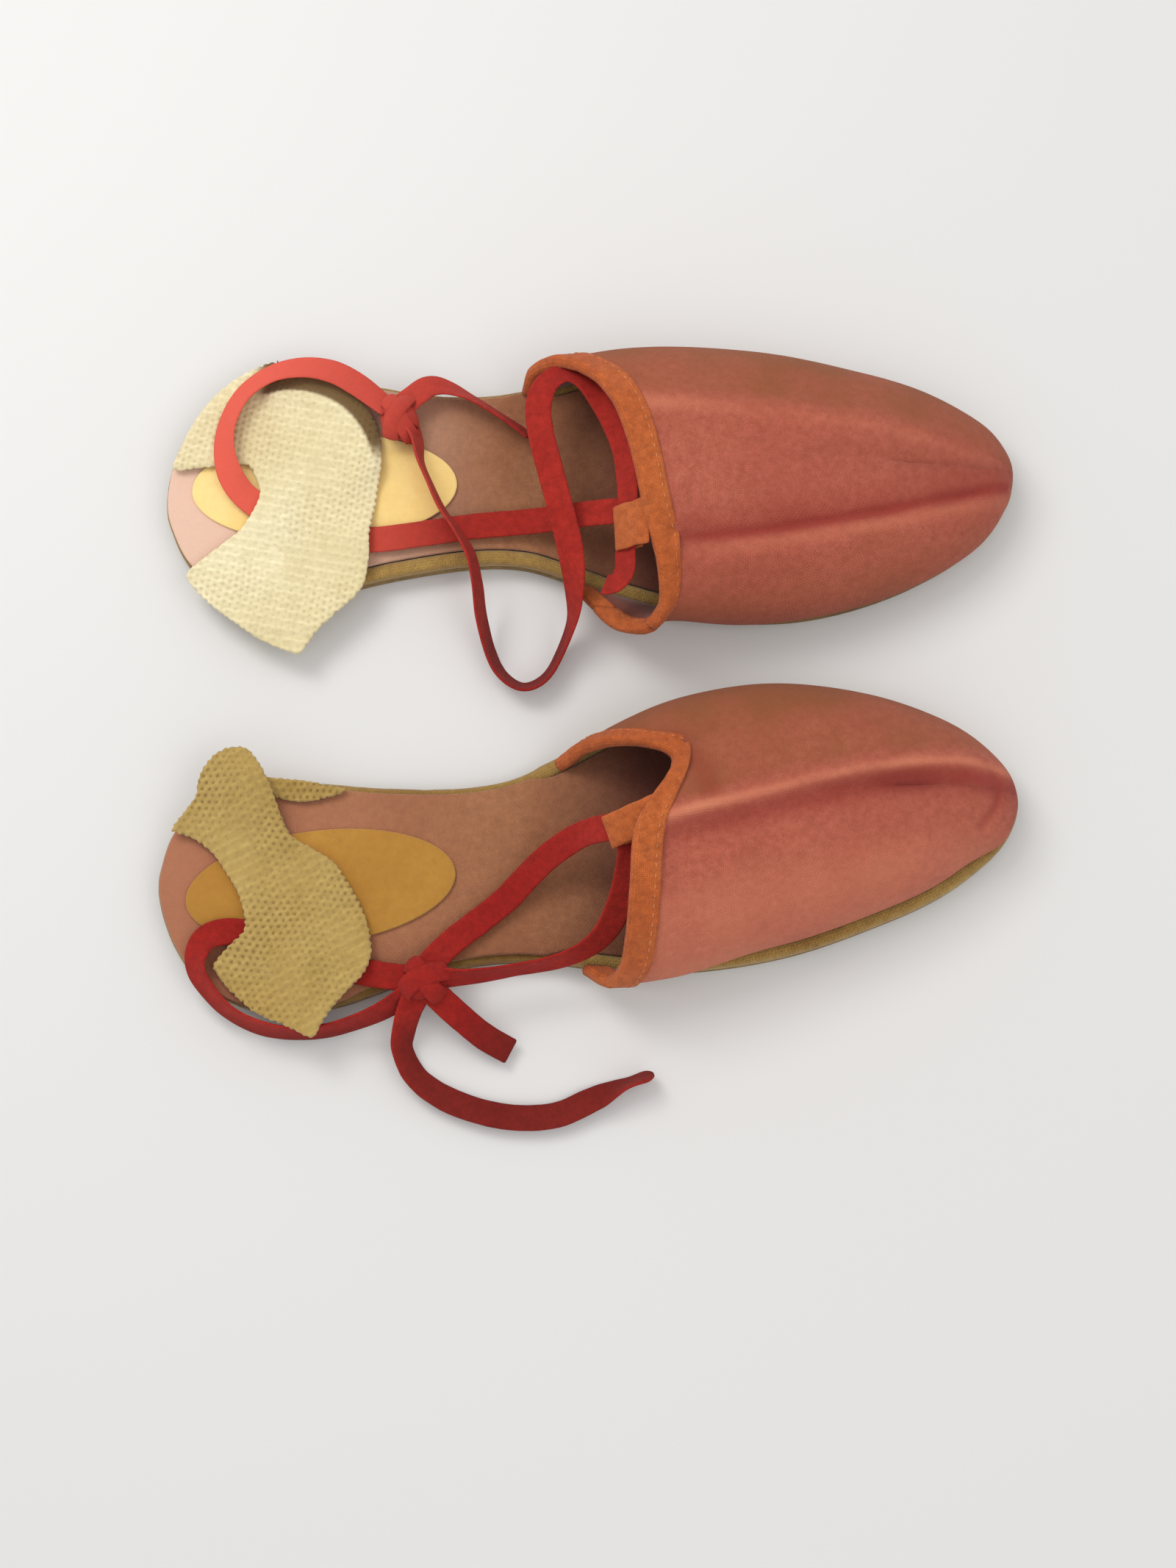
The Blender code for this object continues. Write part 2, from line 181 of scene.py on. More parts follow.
def face_outwards(weld=0.0):
    """Turns every face of the active mesh outward, with points nearer than weld joined first."""
    bpy.ops.object.mode_set(mode="EDIT")
    bpy.ops.mesh.select_all(action="SELECT")
    if weld:
        bpy.ops.mesh.remove_doubles(threshold=weld)
    bpy.ops.mesh.normals_make_consistent(inside=False)
    bpy.ops.object.mode_set(mode="OBJECT")


def add_plate(outline, base, thickness, rounding):
    """A flat outline filled, extruded up to its thickness, with its rims rounded over."""
    bpy.ops.object.select_all(action="DESELECT")
    bpy.ops.mesh.primitive_circle_add(vertices=len(outline), fill_type="NGON")
    item = bpy.context.object
    for vertex, (x, y) in zip(item.data.vertices, outline):
        vertex.co = (x, y, base)
    bpy.ops.object.mode_set(mode="EDIT")
    bpy.ops.mesh.select_all(action="SELECT")
    bpy.ops.mesh.extrude_region_move(TRANSFORM_OT_translate={"value": (0, 0, thickness)})
    bpy.ops.object.mode_set(mode="OBJECT")
    face_outwards()
    rim = item.modifiers.new("rounded_rim", "BEVEL")
    rim.width = rounding
    rim.segments = 3
    rim.limit_method = "ANGLE"
    bpy.ops.object.modifier_apply(modifier="rounded_rim")
    bpy.ops.object.shade_smooth_by_angle(angle=math.radians(50))
    return item


def linear(red, green, blue):
    """A screen colour, from 0 to 255, as the linear colour that a shader takes."""
    return tuple(((c / 255 + 0.055) / 1.055) ** 2.4 if c > 10 else c / 255 / 12.92
                 for c in (red, green, blue)) + (1.0,)


def node_group(name, inputs, outputs):
    group = bpy.data.node_groups.new(name, "ShaderNodeTree")
    for socket_name, kind, value in inputs:
        socket = group.interface.new_socket(socket_name, in_out="INPUT", socket_type=kind)
        if value is not None:
            socket.default_value = value
    for socket_name, kind in outputs:
        group.interface.new_socket(socket_name, in_out="OUTPUT", socket_type=kind)
    return group, group.nodes.new("NodeGroupInput"), group.nodes.new("NodeGroupOutput")


def math_node(tree, operation, first, second=None, third=None):
    """A Math node; each operand is a socket or a number."""
    made = tree.nodes.new("ShaderNodeMath")
    made.operation = operation
    for slot_index, operand in enumerate((first, second, third)):
        if operand is None:
            continue
        if isinstance(operand, (int, float)):
            made.inputs[slot_index].default_value = operand
        else:
            tree.links.new(operand, made.inputs[slot_index])
    return made.outputs[0]


def mix_colours(tree, amount, first, second):
    made = tree.nodes.new("ShaderNodeMix")
    made.data_type = "RGBA"
    for socket, operand in ((made.inputs[0], amount), (made.inputs[6], first), (made.inputs[7], second)):
        if isinstance(operand, (int, float, tuple)):
            socket.default_value = operand
        else:
            tree.links.new(operand, socket)
    return made.outputs[2]


def noise_node(tree, vector, scale, detail=2.0, roughness=0.5):
    made = tree.nodes.new("ShaderNodeTexNoise")
    made.inputs["Scale"].default_value = scale
    made.inputs["Detail"].default_value = detail
    made.inputs["Roughness"].default_value = roughness
    tree.links.new(vector, made.inputs["Vector"])
    return made.outputs["Fac"]


def range_node(tree, value, low, high):
    """Stretches the values from low to high over the whole range from 0 to 1."""
    made = tree.nodes.new("ShaderNodeMapRange")
    tree.links.new(value, made.inputs["Value"])
    made.inputs["From Min"].default_value = low
    made.inputs["From Max"].default_value = high
    return made.outputs["Result"]


def tint_node(tree, mask, amount, tone, colour):
    """The tone with a share of another colour, as much as the mask times the amount."""
    return mix_colours(tree, math_node(tree, "MULTIPLY", mask, amount), tone, colour)


def group_node(tree, group, place_name, place):
    made = tree.nodes.new("ShaderNodeGroup")
    made.node_tree = group
    tree.links.new(place, made.inputs[place_name])
    return made


def relief_node(tree, height, strength, distance):
    """Turns a height into small relief on a material's surface."""
    made = tree.nodes.new("ShaderNodeBump")
    made.inputs["Strength"].default_value = strength
    made.inputs["Distance"].default_value = distance
    tree.links.new(height, made.inputs["Height"])
    tree.links.new(made.outputs["Normal"], tree.nodes["Principled BSDF"].inputs["Normal"])


def make_wear_group():
    """Fading and soiling: broad faded patches, small mottle and a few dark spots, each as a mask."""
    group, given, result = node_group("fade_and_soil", [("Place", "NodeSocketVector", None)],
                                      [("Fade", "NodeSocketFloat"), ("Mottle", "NodeSocketFloat"),
                                       ("Spots", "NodeSocketFloat")])
    place = given.outputs["Place"]
    for mask, scale, detail, roughness, low, high in (("Fade", 26.0, 3.0, 0.55, 0.36, 0.66),
                                                      ("Mottle", 420.0, 5.0, 0.8, 0.34, 0.66),
                                                      ("Spots", 120.0, 5.0, 0.75, 0.62, 0.74)):
        patches = noise_node(group, place, scale, detail, roughness)
        group.links.new(range_node(group, patches, low, high), result.inputs[mask])
    return group


WEAR = make_wear_group()


def rubber_material():
    """Aged rubber, yellowed in patches, with dull and less dull spots and a fine grain."""
    material = plain_material("aged_rubber", linear(122, 98, 52), 0.62)
    tree = material.node_tree
    shader = tree.nodes["Principled BSDF"]
    places = tree.nodes.new("ShaderNodeTexCoord")
    wear = group_node(tree, WEAR, "Place", places.outputs["Object"])
    tone = mix_colours(tree, wear.outputs["Fade"], linear(118, 92, 46), linear(150, 124, 72))
    tone = tint_node(tree, wear.outputs["Mottle"], 0.5, tone, linear(78, 58, 30))
    tree.links.new(tone, shader.inputs["Base Color"])
    dullness = math_node(tree, "MULTIPLY_ADD", wear.outputs["Mottle"], 0.3, 0.5)
    tree.links.new(dullness, shader.inputs["Roughness"])
    relief_node(tree, noise_node(tree, places.outputs["Object"], 900.0, 3.0, 0.6), 0.5, 0.0004)
    return material


def piece_from_active(name, side, material, body=None, nodes=None, bends=None):
    """Names the active object, puts it in its shoe's place, and gives it its finish and, unless bends is
    given, its body.
    bends would be the two places along the shoe where a piece turns to that shoe's sling; only whether it is
    given is used, and then the piece is left in place with no body."""
    item = bpy.context.object
    item.name = name + "_visual"
    item.data.name = name + "_visual"
    item.data.transform(PLACES[side])
    item.data.materials.clear()
    item.data.materials.append(material)
    if bends:
        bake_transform(item)
    else:
        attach(item, body or side + "_shoe")
    if nodes is None:
        nodes = (name,)
    if nodes:
        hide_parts(*nodes)
    return item


RUBBER = rubber_material()
for side in HANDS:
    add_plate(sole_edge(0.0, side), 0.0, OUTSOLE_THICKNESS, OUTSOLE_ROUNDING)
    piece_from_active(side + "_outsole", side, RUBBER)


# Edge band. A strip of olive cloth rolled over a cord and stitched round the sole's edge as a soft welt. Like
# every woven piece it has a UV map in metres, so that its threads are of their real size.
BAND_BASE = OUTSOLE_THICKNESS + 0.0003
BAND_WIDTH = 0.0045
BAND_HEIGHT = 0.0045
BAND_AROUND = 16
BAND_GIRTH = 0.0145
BAND_LENGTH = 0.620
BAND_SQUARENESS = 0.75
SOIL_BROWN = linear(112, 62, 36)
THREAD_GAP = 0.45
THREAD_HEIGHT = 0.45


def make_weave_group():
    """Plain weave: over and under threads of the given pitch, with thick and thin places. Height and gaps."""
    group, given, result = node_group("plain_weave",
                                      [("UV", "NodeSocketVector", None),
                                       ("Pitch", "NodeSocketFloat", 0.0006)],
                                      [("Height", "NodeSocketFloat"), ("Gap", "NodeSocketFloat")])
    wobble = group.nodes.new("ShaderNodeVectorMath")
    wobble.operation = "MULTIPLY_ADD"
    slub = group.nodes.new("ShaderNodeTexNoise")
    slub.inputs["Scale"].default_value = 260.0
    group.links.new(given.outputs["UV"], slub.inputs["Vector"])
    group.links.new(slub.outputs["Color"], wobble.inputs[0])
    wobble.inputs[1].default_value = (0.0005, 0.0005, 0.0)
    group.links.new(given.outputs["UV"], wobble.inputs[2])
    split = group.nodes.new("ShaderNodeSeparateXYZ")
    group.links.new(wobble.outputs[0], split.inputs[0])
    waves = []
    for axis in ("X", "Y"):
        turns = math_node(group, "DIVIDE", split.outputs[axis], given.outputs["Pitch"])
        waves.append(math_node(group, "SINE", math_node(group, "MULTIPLY", turns, math.pi)))
    crossing = math_node(group, "MULTIPLY", waves[0], waves[1])
    over = math_node(group, "ABSOLUTE", crossing)
    ribs = math_node(group, "MAXIMUM", math_node(group, "ABSOLUTE", waves[0]),
                     math_node(group, "ABSOLUTE", waves[1]))
    height = math_node(group, "MULTIPLY_ADD", crossing, 0.35, ribs)
    group.links.new(height, result.inputs["Height"])
    group.links.new(math_node(group, "SUBTRACT", 1.0, math_node(group, "POWER", over, 0.35)),
                    result.inputs["Gap"])
    return group


def fabric_material(name, roughness, specular, sheen, sheen_roughness):
    """An empty fabric, with its surface set and its colour still to come; also its wear and its places."""
    material = bpy.data.materials.new(name)
    material.use_nodes = True
    tree = material.node_tree
    shader = tree.nodes["Principled BSDF"]
    shader.inputs["Roughness"].default_value = roughness
    shader.inputs["Specular IOR Level"].default_value = specular
    shader.inputs["Sheen Weight"].default_value = sheen
    shader.inputs["Sheen Roughness"].default_value = sheen_roughness
    places = tree.nodes.new("ShaderNodeTexCoord")
    wear = group_node(tree, WEAR, "Place", places.outputs["Object"])
    return material, places, wear


def cloth_material(name, colour, faded, gap_colour, pitch, bump, mottle=0.5, soil=0.5, roughness=0.88,
                   sheen=0.25):
    """Woven cloth: dyed threads with dark gaps, faded patches, mottle, soil and a soft sheen."""
    material, places, wear = fabric_material(name, roughness, 0.25, sheen, 0.6)
    tree = material.node_tree
    weave = group_node(tree, WEAVE, "UV", places.outputs["UV"])
    weave.inputs["Pitch"].default_value = pitch
    tone = mix_colours(tree, wear.outputs["Fade"], colour, faded)
    tone = tint_node(tree, wear.outputs["Mottle"], mottle, tone, gap_colour)
    tone = tint_node(tree, weave.outputs["Gap"], THREAD_GAP, tone, gap_colour)
    tone = tint_node(tree, wear.outputs["Spots"], soil, tone, SOIL_BROWN)
    tree.links.new(tone, tree.nodes["Principled BSDF"].inputs["Base Color"])
    height = math_node(tree, "MULTIPLY_ADD", wear.outputs["Mottle"], 0.8, weave.outputs["Height"])
    relief_node(tree, height, bump, pitch * THREAD_HEIGHT)
    return material


WEAVE = make_weave_group()
EDGE_CLOTH = cloth_material("olive_edge_cloth", linear(158, 120, 54), linear(184, 150, 78),
                            linear(96, 68, 30), 0.0007, 0.55, mottle=0.45, soil=0.6)


def set_grid_uvs(item, across, along, width, length):
    """UVs in metres on a surface whose points are numbered row by row, across by along."""
    layer = item.data.uv_layers.active or item.data.uv_layers.new(name="UVMap")
    for polygon in item.data.polygons:
        rows = [item.data.loops[k].vertex_index // across for k in polygon.loop_indices]
        columns = [item.data.loops[k].vertex_index % across for k in polygon.loop_indices]
        for k, row, column in zip(polygon.loop_indices, rows, columns):
            if max(rows) - min(rows) > along // 2 and row < along // 2:
                row += along
            if max(columns) - min(columns) > across // 2 and column < across // 2:
                column += across
            layer.data[k].uv = (column / across * width, row / along * length)


BAND_SHOWN = {"left": dict(heel=0.0006, arch=0.0046, outer=0.0013),
              "right": dict(heel=0.0006, arch=0.0018, outer=0.0022)}


def ease(low, high, value):
    share = np.clip((value - low) / (high - low), 0.0, 1.0)
    return share * share * (3 - 2 * share)


def band_shown(side):
    """How much of the band stays clear of the insole at each point of the sole's edge, in metres."""
    shown = BAND_SHOWN[side]
    x, y = SOLE_OUTLINE.T
    waist = ease(0.044, 0.060, x)
    beside = shown["outer"] + (shown["arch"] - shown["outer"]) * ease(-0.004, 0.004, y)
    behind = shown["heel"] + (beside - shown["heel"]) * waist
    under = ease(0.108, 0.116, x)
    return behind + (BAND_WIDTH - behind) * under


for side in HANDS:
    outer = sole_edge(0.0, side)
    inner = sole_edge(BAND_WIDTH, side)
    fullness = 0.60 + 0.40 * ease(0.0024, 0.0042, band_shown(side))
    bpy.ops.object.select_all(action="DESELECT")
    bpy.ops.mesh.primitive_torus_add(major_segments=len(outer), minor_segments=BAND_AROUND,
                                     major_radius=1.0, minor_radius=0.1)
    band = bpy.context.object
    for number, vertex in enumerate(band.data.vertices):
        spot, turn = divmod(number, BAND_AROUND)
        angle = math.tau * turn / BAND_AROUND
        middle = (outer[spot] + inner[spot]) / 2
        reach = (outer[spot] - inner[spot]) / 2
        wide, high = (math.copysign(abs(part) ** BAND_SQUARENESS, part)
                      for part in (math.cos(angle), math.sin(angle)))
        pucker = 1 + 0.05 * noise.noise(Vector((*outer[spot], 0.0)) * 220)
        x, y = middle + reach * wide * pucker
        tall = BAND_HEIGHT * fullness[spot]
        vertex.co = (x, y, BAND_BASE + tall * (0.5 + 0.5 * high * pucker * (1 if high < 0 else 0.98)))
    face_outwards()
    bpy.ops.object.shade_smooth()
    set_grid_uvs(band, BAND_AROUND, len(outer), BAND_GIRTH, BAND_LENGTH)
    piece_from_active(side + "_edge_band", side, EDGE_CLOTH)


# Filler and insole. A fibre board fills the sole inside the edge band, and a pink cotton sock is glued over
# it. The sock is painted lighter towards the heel, a painted light strongest on the left shoe, and painted
# dark maroon towards the throat, a painted shade under the upper.
BOARD_INSET = BAND_WIDTH + 0.0004
MIDSOLE_THICKNESS = 0.0025
MIDSOLE_ROUNDING = 0.0004
INSOLE_THICKNESS = 0.0017
INSOLE_ROUNDING = 0.0006
INSOLE_TOP = BAND_BASE + BAND_HEIGHT
BOARD = cloth_material("fibre_board", linear(126, 104, 76), linear(146, 124, 94), linear(84, 66, 46),
                       0.0016, 0.3, mottle=0.8)


def paint_light_and_shade_along(material, colour, first, last, amount, by="UV", axis="X"):
    """Paints light and shade along an axis: takes a cloth towards another colour from last to first, places
    in metres along it.
    """
    tree = material.node_tree
    colour_input = tree.nodes["Principled BSDF"].inputs["Base Color"]
    before = colour_input.links[0].from_socket
    places = tree.nodes.new("ShaderNodeTexCoord")
    split = tree.nodes.new("ShaderNodeSeparateXYZ")
    tree.links.new(places.outputs[by], split.inputs[0])
    ramp = tree.nodes.new("ShaderNodeMapRange")
    ramp.interpolation_type = "SMOOTHSTEP"
    tree.links.new(split.outputs[axis], ramp.inputs["Value"])
    for socket, value in (("From Min", first), ("From Max", last), ("To Min", amount), ("To Max", 0.0)):
        ramp.inputs[socket].default_value = value
    tree.links.new(mix_colours(tree, ramp.outputs["Result"], before, colour), colour_input)


INSOLE_CLOTHS = {side: cloth_material(side + "_insole_sock", linear(158, 102, 66), linear(176, 122, 84),
                                      linear(112, 66, 40), 0.0006, 0.4, mottle=0.5, soil=0.4)
                 for side in HANDS}
# Painted light: each insole lighter from 105 mm back to the heel, strongly on the left. Painted shade: dark
# maroon from 104 mm forward, under the upper.
paint_light_and_shade_along(INSOLE_CLOTHS["left"], linear(232, 196, 176), 0.020, 0.105, 0.85)
paint_light_and_shade_along(INSOLE_CLOTHS["right"], linear(170, 108, 80), 0.010, 0.120, 0.7)
for side in HANDS:
    paint_light_and_shade_along(INSOLE_CLOTHS[side], linear(86, 32, 26), 0.150, 0.104, 0.88)


def set_plan_uvs(item):
    """UVs in metres straight from above, for a piece that lies flat."""
    layer = item.data.uv_layers.active or item.data.uv_layers.new(name="UVMap")
    for loop in item.data.loops:
        layer.data[loop.index].uv = item.data.vertices[loop.vertex_index].co.xy


for side in HANDS:
    add_plate(sole_edge(BOARD_INSET, side), BAND_BASE, MIDSOLE_THICKNESS, MIDSOLE_ROUNDING)
    set_plan_uvs(bpy.context.object)
    piece_from_active(side + "_midsole", side, BOARD)
    add_plate(sole_edge(np.minimum(band_shown(side), BOARD_INSET), side), INSOLE_TOP - INSOLE_THICKNESS,
              INSOLE_THICKNESS, INSOLE_ROUNDING)
    set_plan_uvs(bpy.context.object)
    piece_from_active(side + "_insole", side, INSOLE_CLOTHS[side])


# Heel pad. A thin oval of yellow felt glued on the insole under the heel, its edge pressed down. The left
# one is much paler than the right: partly its own paler felt, partly painted light for the brighter-lit left
# heel.
PAD_CENTRE = (0.047, -0.003)
PAD_HALF_LENGTH = 0.039
PAD_HALF_WIDTH = 0.0165
PAD_THICKNESS = 0.0008
PAD_POINTS = 96
PAD_FELTS = {"left": cloth_material("pale_yellow_felt", linear(240, 208, 130), linear(246, 222, 152),
                                    linear(226, 190, 112), 0.0006, 0.10, mottle=0.4, soil=0.2, sheen=0.4),
             "right": cloth_material("yellow_felt", linear(170, 120, 38), linear(186, 138, 52),
                                     linear(156, 106, 32), 0.0006, 0.10, mottle=0.5, soil=0.25, sheen=0.3)}
for side in HANDS:
    oval = []
    for i in range(PAD_POINTS):
        angle = math.tau * i / PAD_POINTS
        x = PAD_CENTRE[0] + PAD_HALF_LENGTH * math.cos(angle)
        oval.append((x, (PAD_CENTRE[1] + PAD_HALF_WIDTH * math.sin(angle)) * HANDS[side]))
    pad = add_plate(oval, INSOLE_TOP + 0.0002, PAD_THICKNESS, 0.0005)
    set_plan_uvs(pad)
    piece_from_active(side + "_heel_pad", side, PAD_FELTS[side])


# Upper. One piece of salmon canvas over the toes, stitched down to the edge band, flattened and creased by
# years of storage. The left one has a long valley beside the crest, the right one a raised fold.
UPPER_BASE = INSOLE_TOP + 0.0003
FOOT_INSET = 0.0014
CANVAS_THICKNESS = 0.0010
CANVAS_WAVES = ((0.0005, 0.3, 55), (0.00025, 0.7, 140))
THROAT_START = {"left": (0.119, 0.108), "right": (0.119, 0.117)}
TOPLINES = {
    "left": [(119, -28.5, 8.6), (124, -34.5, 10.6), (131, -42.5, 14.5), (139.5, -44.8, 20), (144.5, -40, 27),
             (144, -27, 33.5), (141, -14, 36.5), (138.6, 0, 37.5), (136.2, 10, 37.5), (132.6, 20, 36),
             (126.5, 28.5, 32), (117.5, 34.5, 25), (109.5, 34.5, 16.5), (107, 30.5, 8.6)],
    "right": [(119, 24.5, 8.6), (126, 27, 18), (135, 26.5, 27), (145, 23.5, 32), (151.5, 19.5, 34),
              (149, 13, 36), (143, 6, 38), (138.5, -2, 38.5), (135.8, -16, 37.5), (133.4, -28, 32.5),
              (130.6, -37, 24), (126, -40.5, 15), (120, -36, 8.6)],
}
CRESTS = {
    "left": [(138.6, 0, 37.5), (158, 2, 35.5), (180, 3, 32), (200, 2.5, 28), (219, 0.5, 23.5)],
    "right": [(138.8, 0, 38.5), (157, 3, 36.5), (180, 5, 33), (200, 6, 28.5), (219, 5, 23.5)],
}
FOLDS = {
    "left": [dict(line=[(146, -21.8), (170, -19.6), (205, -14), (228, -9), (246, -5)],
                  depth=-3.0, spread=2.7),
             dict(line=[(143, 19), (165, 17), (189, 14.6), (215, 10.5), (236, 6)], depth=1.3, spread=4.0),
             dict(line=[(146, -28), (175, -26.5), (215, -20)], depth=1.0, spread=5.0)],
    "right": [dict(line=[(143, 0.5), (151, 2.5), (172, 5.5), (192, 8.5), (212, 10.5), (232, 10), (245, 8)],
                   depth=2.0, spread=1.9),
              dict(line=[(146, -5.5), (172, -1.5), (192, 1.5), (212, 4), (236, 4.5)], depth=-2.8, spread=4.4),
              dict(line=[(236, -9), (241, -4), (242.5, 3), (240, 9)], depth=-1.0, spread=1.6),
              dict(line=[(152, 20), (160, 23), (168, 27)], depth=-2.6, spread=4.5)],
}


def line_reach(points, x, y):
    """Distance in plan from (x, y) to a line through points, and how far along the line that is, 0 to 1."""
    here = np.array((x, y))
    lengths = np.linalg.norm(np.diff(points, axis=0), axis=1)
    starts = np.concatenate([[0], np.cumsum(lengths)])
    best, where = 1e9, 0.0
    for i, length in enumerate(lengths):
        step = points[i + 1] - points[i]
        t = float(np.clip(np.dot(here - points[i], step) / length ** 2, 0, 1))
        away = float(np.linalg.norm(here - points[i] - step * t))
        if away < best:
            best, where = away, (starts[i] + t * length) / starts[-1]
    return best, where


def read_path(path, t):
    """A point at share t of a path's own numbering, as a vector."""
    reach = min(max(t, 0.0), 1.0) * (len(path) - 1)
    index = min(int(reach), len(path) - 2)
    return Vector(path[index]).lerp(Vector(path[index + 1]), reach - index)


def run_along(points):
    """How far along a path each of its points is."""
    return np.concatenate([[0], np.cumsum(np.linalg.norm(np.diff(points, axis=0), axis=1))])


def read_at(spots, run, points):
    """The path's points at the given runs along it."""
    return np.stack([np.interp(spots, run, column) for column in points.T], axis=1)


def even_path(points, count):
    """A smooth curve through points, read at even distances."""
    fine = smooth_path(points, 16)
    run = run_along(fine)
    return read_at(np.linspace(0, run[-1], count), run, fine)


class Upper:
    """The cloth surface of one upper: along runs from topline to toe, across from arch to outer foot."""

    def __init__(self, side):
        x, y = SOLE_OUTLINE.T
        if side == "left":
            inset = FOOT_INSET - (0.0014 + 0.0012 * ease(0.190, 0.160, x)) * ease(0.004, 0.020, y)
        else:
            inset = FOOT_INSET + 0.0030 * ease(0.140, 0.175, x) * ease(-0.012, -0.022, y)
        edge = sole_edge(inset, side)
        half = len(ARCH_SIDE) * EDGE_STEPS
        arch, outer = edge[:half + 1], np.concatenate([edge[half:], edge[:1]])[::-1]
        self.feet = []
        for run, start in zip((arch, outer), THROAT_START[side]):
            kept = run[run[:, 0] >= start]
            kept = kept[np.argmin(kept[:, 0]):] if kept[0, 0] < kept[-1, 0] else kept
            self.feet.append(even_path(kept, 200))
        self.crest = even_path(np.array(CRESTS[side]) * MM, 120)
        self.topline = even_path(np.array(TOPLINES[side]) * MM, 240)
        self.folds = [dict(fold, line=smooth_path(np.array(fold["line"]) * MM, 5)) for fold in FOLDS[side]]

    def section(self, along, across):
        foot = read_path(self.feet[0 if across < 0 else 1], along)
        crest = read_path(self.crest, along)
        angle = (1 - abs(across)) * math.pi / 2
        up = math.sin(angle) ** (0.62 + 0.3 * min(1.0, along * 1.2))
        inward = 1 - math.cos(angle)
        forward = up + (inward - up) * min(1.0, along * 1.5)
        bulge = math.copysign(0.004 * (1 - along) ** 1.5, foot.y) * math.sin(2 * angle)
        return Vector((foot.x + (crest.x - foot.x) * forward,
                       foot.y + (crest.y - foot.y) * inward + bulge,
                       UPPER_BASE + (crest.z - UPPER_BASE) * up))

    def point(self, along, across):
        place = self.section(along, across)
        hold = max(0.0, 1 - along / 0.5) ** 2.2
        if hold > 0:
            place = place + (read_path(self.topline, (across + 1) / 2) - self.section(0.0, across)) * hold
        lift = 0.0
        height = max(0.0, min(1.0, (place.z - UPPER_BASE) / 0.012))
        for fold in self.folds:
            away, where = line_reach(fold["line"], place.x, place.y)
            fade = min(1.0, 6 * (1 - where) + 0.12) if where > 0.5 else 1.0
            lift += fold["depth"] * MM * math.exp(-(away / (fold["spread"] * MM)) ** 1.4) * fade
        lift *= 0.15 + 0.85 * min(1.0, along / 0.18)
        for depth, seed, scale in CANVAS_WAVES:
            lift += depth * noise.noise(Vector((place.x, place.y, seed)) * scale)
        place.z += lift * height
        return place


def add_cloth_grid(across, along, surface, width, length):
    """A grid whose points are laid where surface(u, v) says, with UVs in metres."""
    bpy.ops.object.select_all(action="DESELECT")
    bpy.ops.mesh.primitive_grid_add(x_subdivisions=across, y_subdivisions=along, size=2.0)
    item = bpy.context.object
    layer = item.data.uv_layers.active
    for entry in layer.data:
        entry.uv = (entry.uv[0] * width, entry.uv[1] * length)
    for vertex in item.data.vertices:
        vertex.co = surface((vertex.co.x + 1) / 2, (vertex.co.y + 1) / 2)
    return item


def close_cloth(item, thickness, offset, levels=1, weld=0.0):
    """Gives a sheet its thickness and a soft surface, with its outside kept outside."""
    face_outwards(weld)
    if sum(p.normal.z * p.area for p in item.data.polygons) < 0:
        item.data.flip_normals()
    wall = item.modifiers.new("cloth_thickness", "SOLIDIFY")
    wall.thickness = thickness
    wall.offset = offset
    bpy.ops.object.modifier_apply(modifier="cloth_thickness")
    if levels:
        soft = item.modifiers.new("soft_surface", "SUBSURF")
        soft.levels = levels
        soft.render_levels = levels
        bpy.ops.object.modifier_apply(modifier="soft_surface")
    bpy.ops.object.shade_smooth()
    return item


def attribute_node(tree, attribute):
    made = tree.nodes.new("ShaderNodeAttribute")
    made.attribute_name = attribute
    return made.outputs["Fac"]


def paint(item, attribute, values):
    """Gives every point of a mesh a value, under a name that its material reads."""
    item.data.attributes.new(attribute, "FLOAT", "POINT").data.foreach_set("value", values)


def tinted_by(material, attribute, colour, amount):
    """Mixes a colour into a cloth where a named attribute of its mesh says so."""
    tree = material.node_tree
    colour_input = tree.nodes["Principled BSDF"].inputs["Base Color"]
    mask = attribute_node(tree, attribute)
    tree.links.new(tint_node(tree, mask, amount, colour_input.links[0].from_socket, colour), colour_input)


CANVAS = cloth_material("salmon_canvas", linear(182, 94, 76), linear(192, 106, 86), linear(140, 62, 42),
                        0.00055, 0.6, mottle=0.6, soil=0.3, sheen=0.05)
# Painted shade: brown on the side walls and low down, mixed with random stains, and dark red in the creases
# and dents. Painted highlight: paler along the ridges.
tinted_by(CANVAS, "shade_and_stain", linear(134, 78, 42), 0.85)
tinted_by(CANVAS, "crease_shade", linear(146, 46, 40), 0.75)
tinted_by(CANVAS, "painted_highlight", linear(216, 134, 102), 0.75)


def reach_to_line(line, places):
    """Distance from many places to a line, with a sign: above zero on its left as it runs to the toe."""
    points = smooth_path(np.array(line) * MM, 6)
    best = np.full(len(places), 1e9)
    signed = np.zeros(len(places))
    for a, b in zip(points[:-1], points[1:]):
        step = b - a
        t = np.clip(((places - a) @ step) / (step @ step), 0, 1)
        away = places - a - t[:, None] * step
        length = np.linalg.norm(away, axis=1)
        turn = np.sign(step[0] * away[:, 1] - step[1] * away[:, 0])
        signed = np.where(length < best, length * turn, signed)
        best = np.minimum(best, length)
    return signed


def bell(value, spread):
    return np.exp(-(value / (spread * MM)) ** 2)


def left_marks(spots, height):
    """Painted shade brown on the walls and low down, painted shade dark red in the valley, and a painted
    highlight along the brow and beside the valley, for the left upper.
    """
    brow = reach_to_line([(140, 20), (165, 18), (189, 15), (215, 11), (240, 4)], spots)
    valley = reach_to_line(FOLDS["left"][0]["line"], spots)
    run = ease(0.140, 0.175, spots[:, 0])
    shade_and_stain = 0.62 * ease(-0.002, 0.006, brow) + 0.30 * ease(0.010, 0.022, brow)
    shade_and_stain += 0.30 * ease(-0.004, -0.022, valley) + 0.30 * ease(0.014, 0.004, height)
    crease_shade = (0.35 + 0.65 * run) * bell(valley, 1.7) + 0.35 * bell(valley - 0.003, 5.0)
    painted_highlight = 0.45 * bell(brow + 0.002, 2.2) * (1 - 0.6 * run) + 0.25 * bell(valley + 0.004, 2.0) * run
    return shade_and_stain, crease_shade, painted_highlight


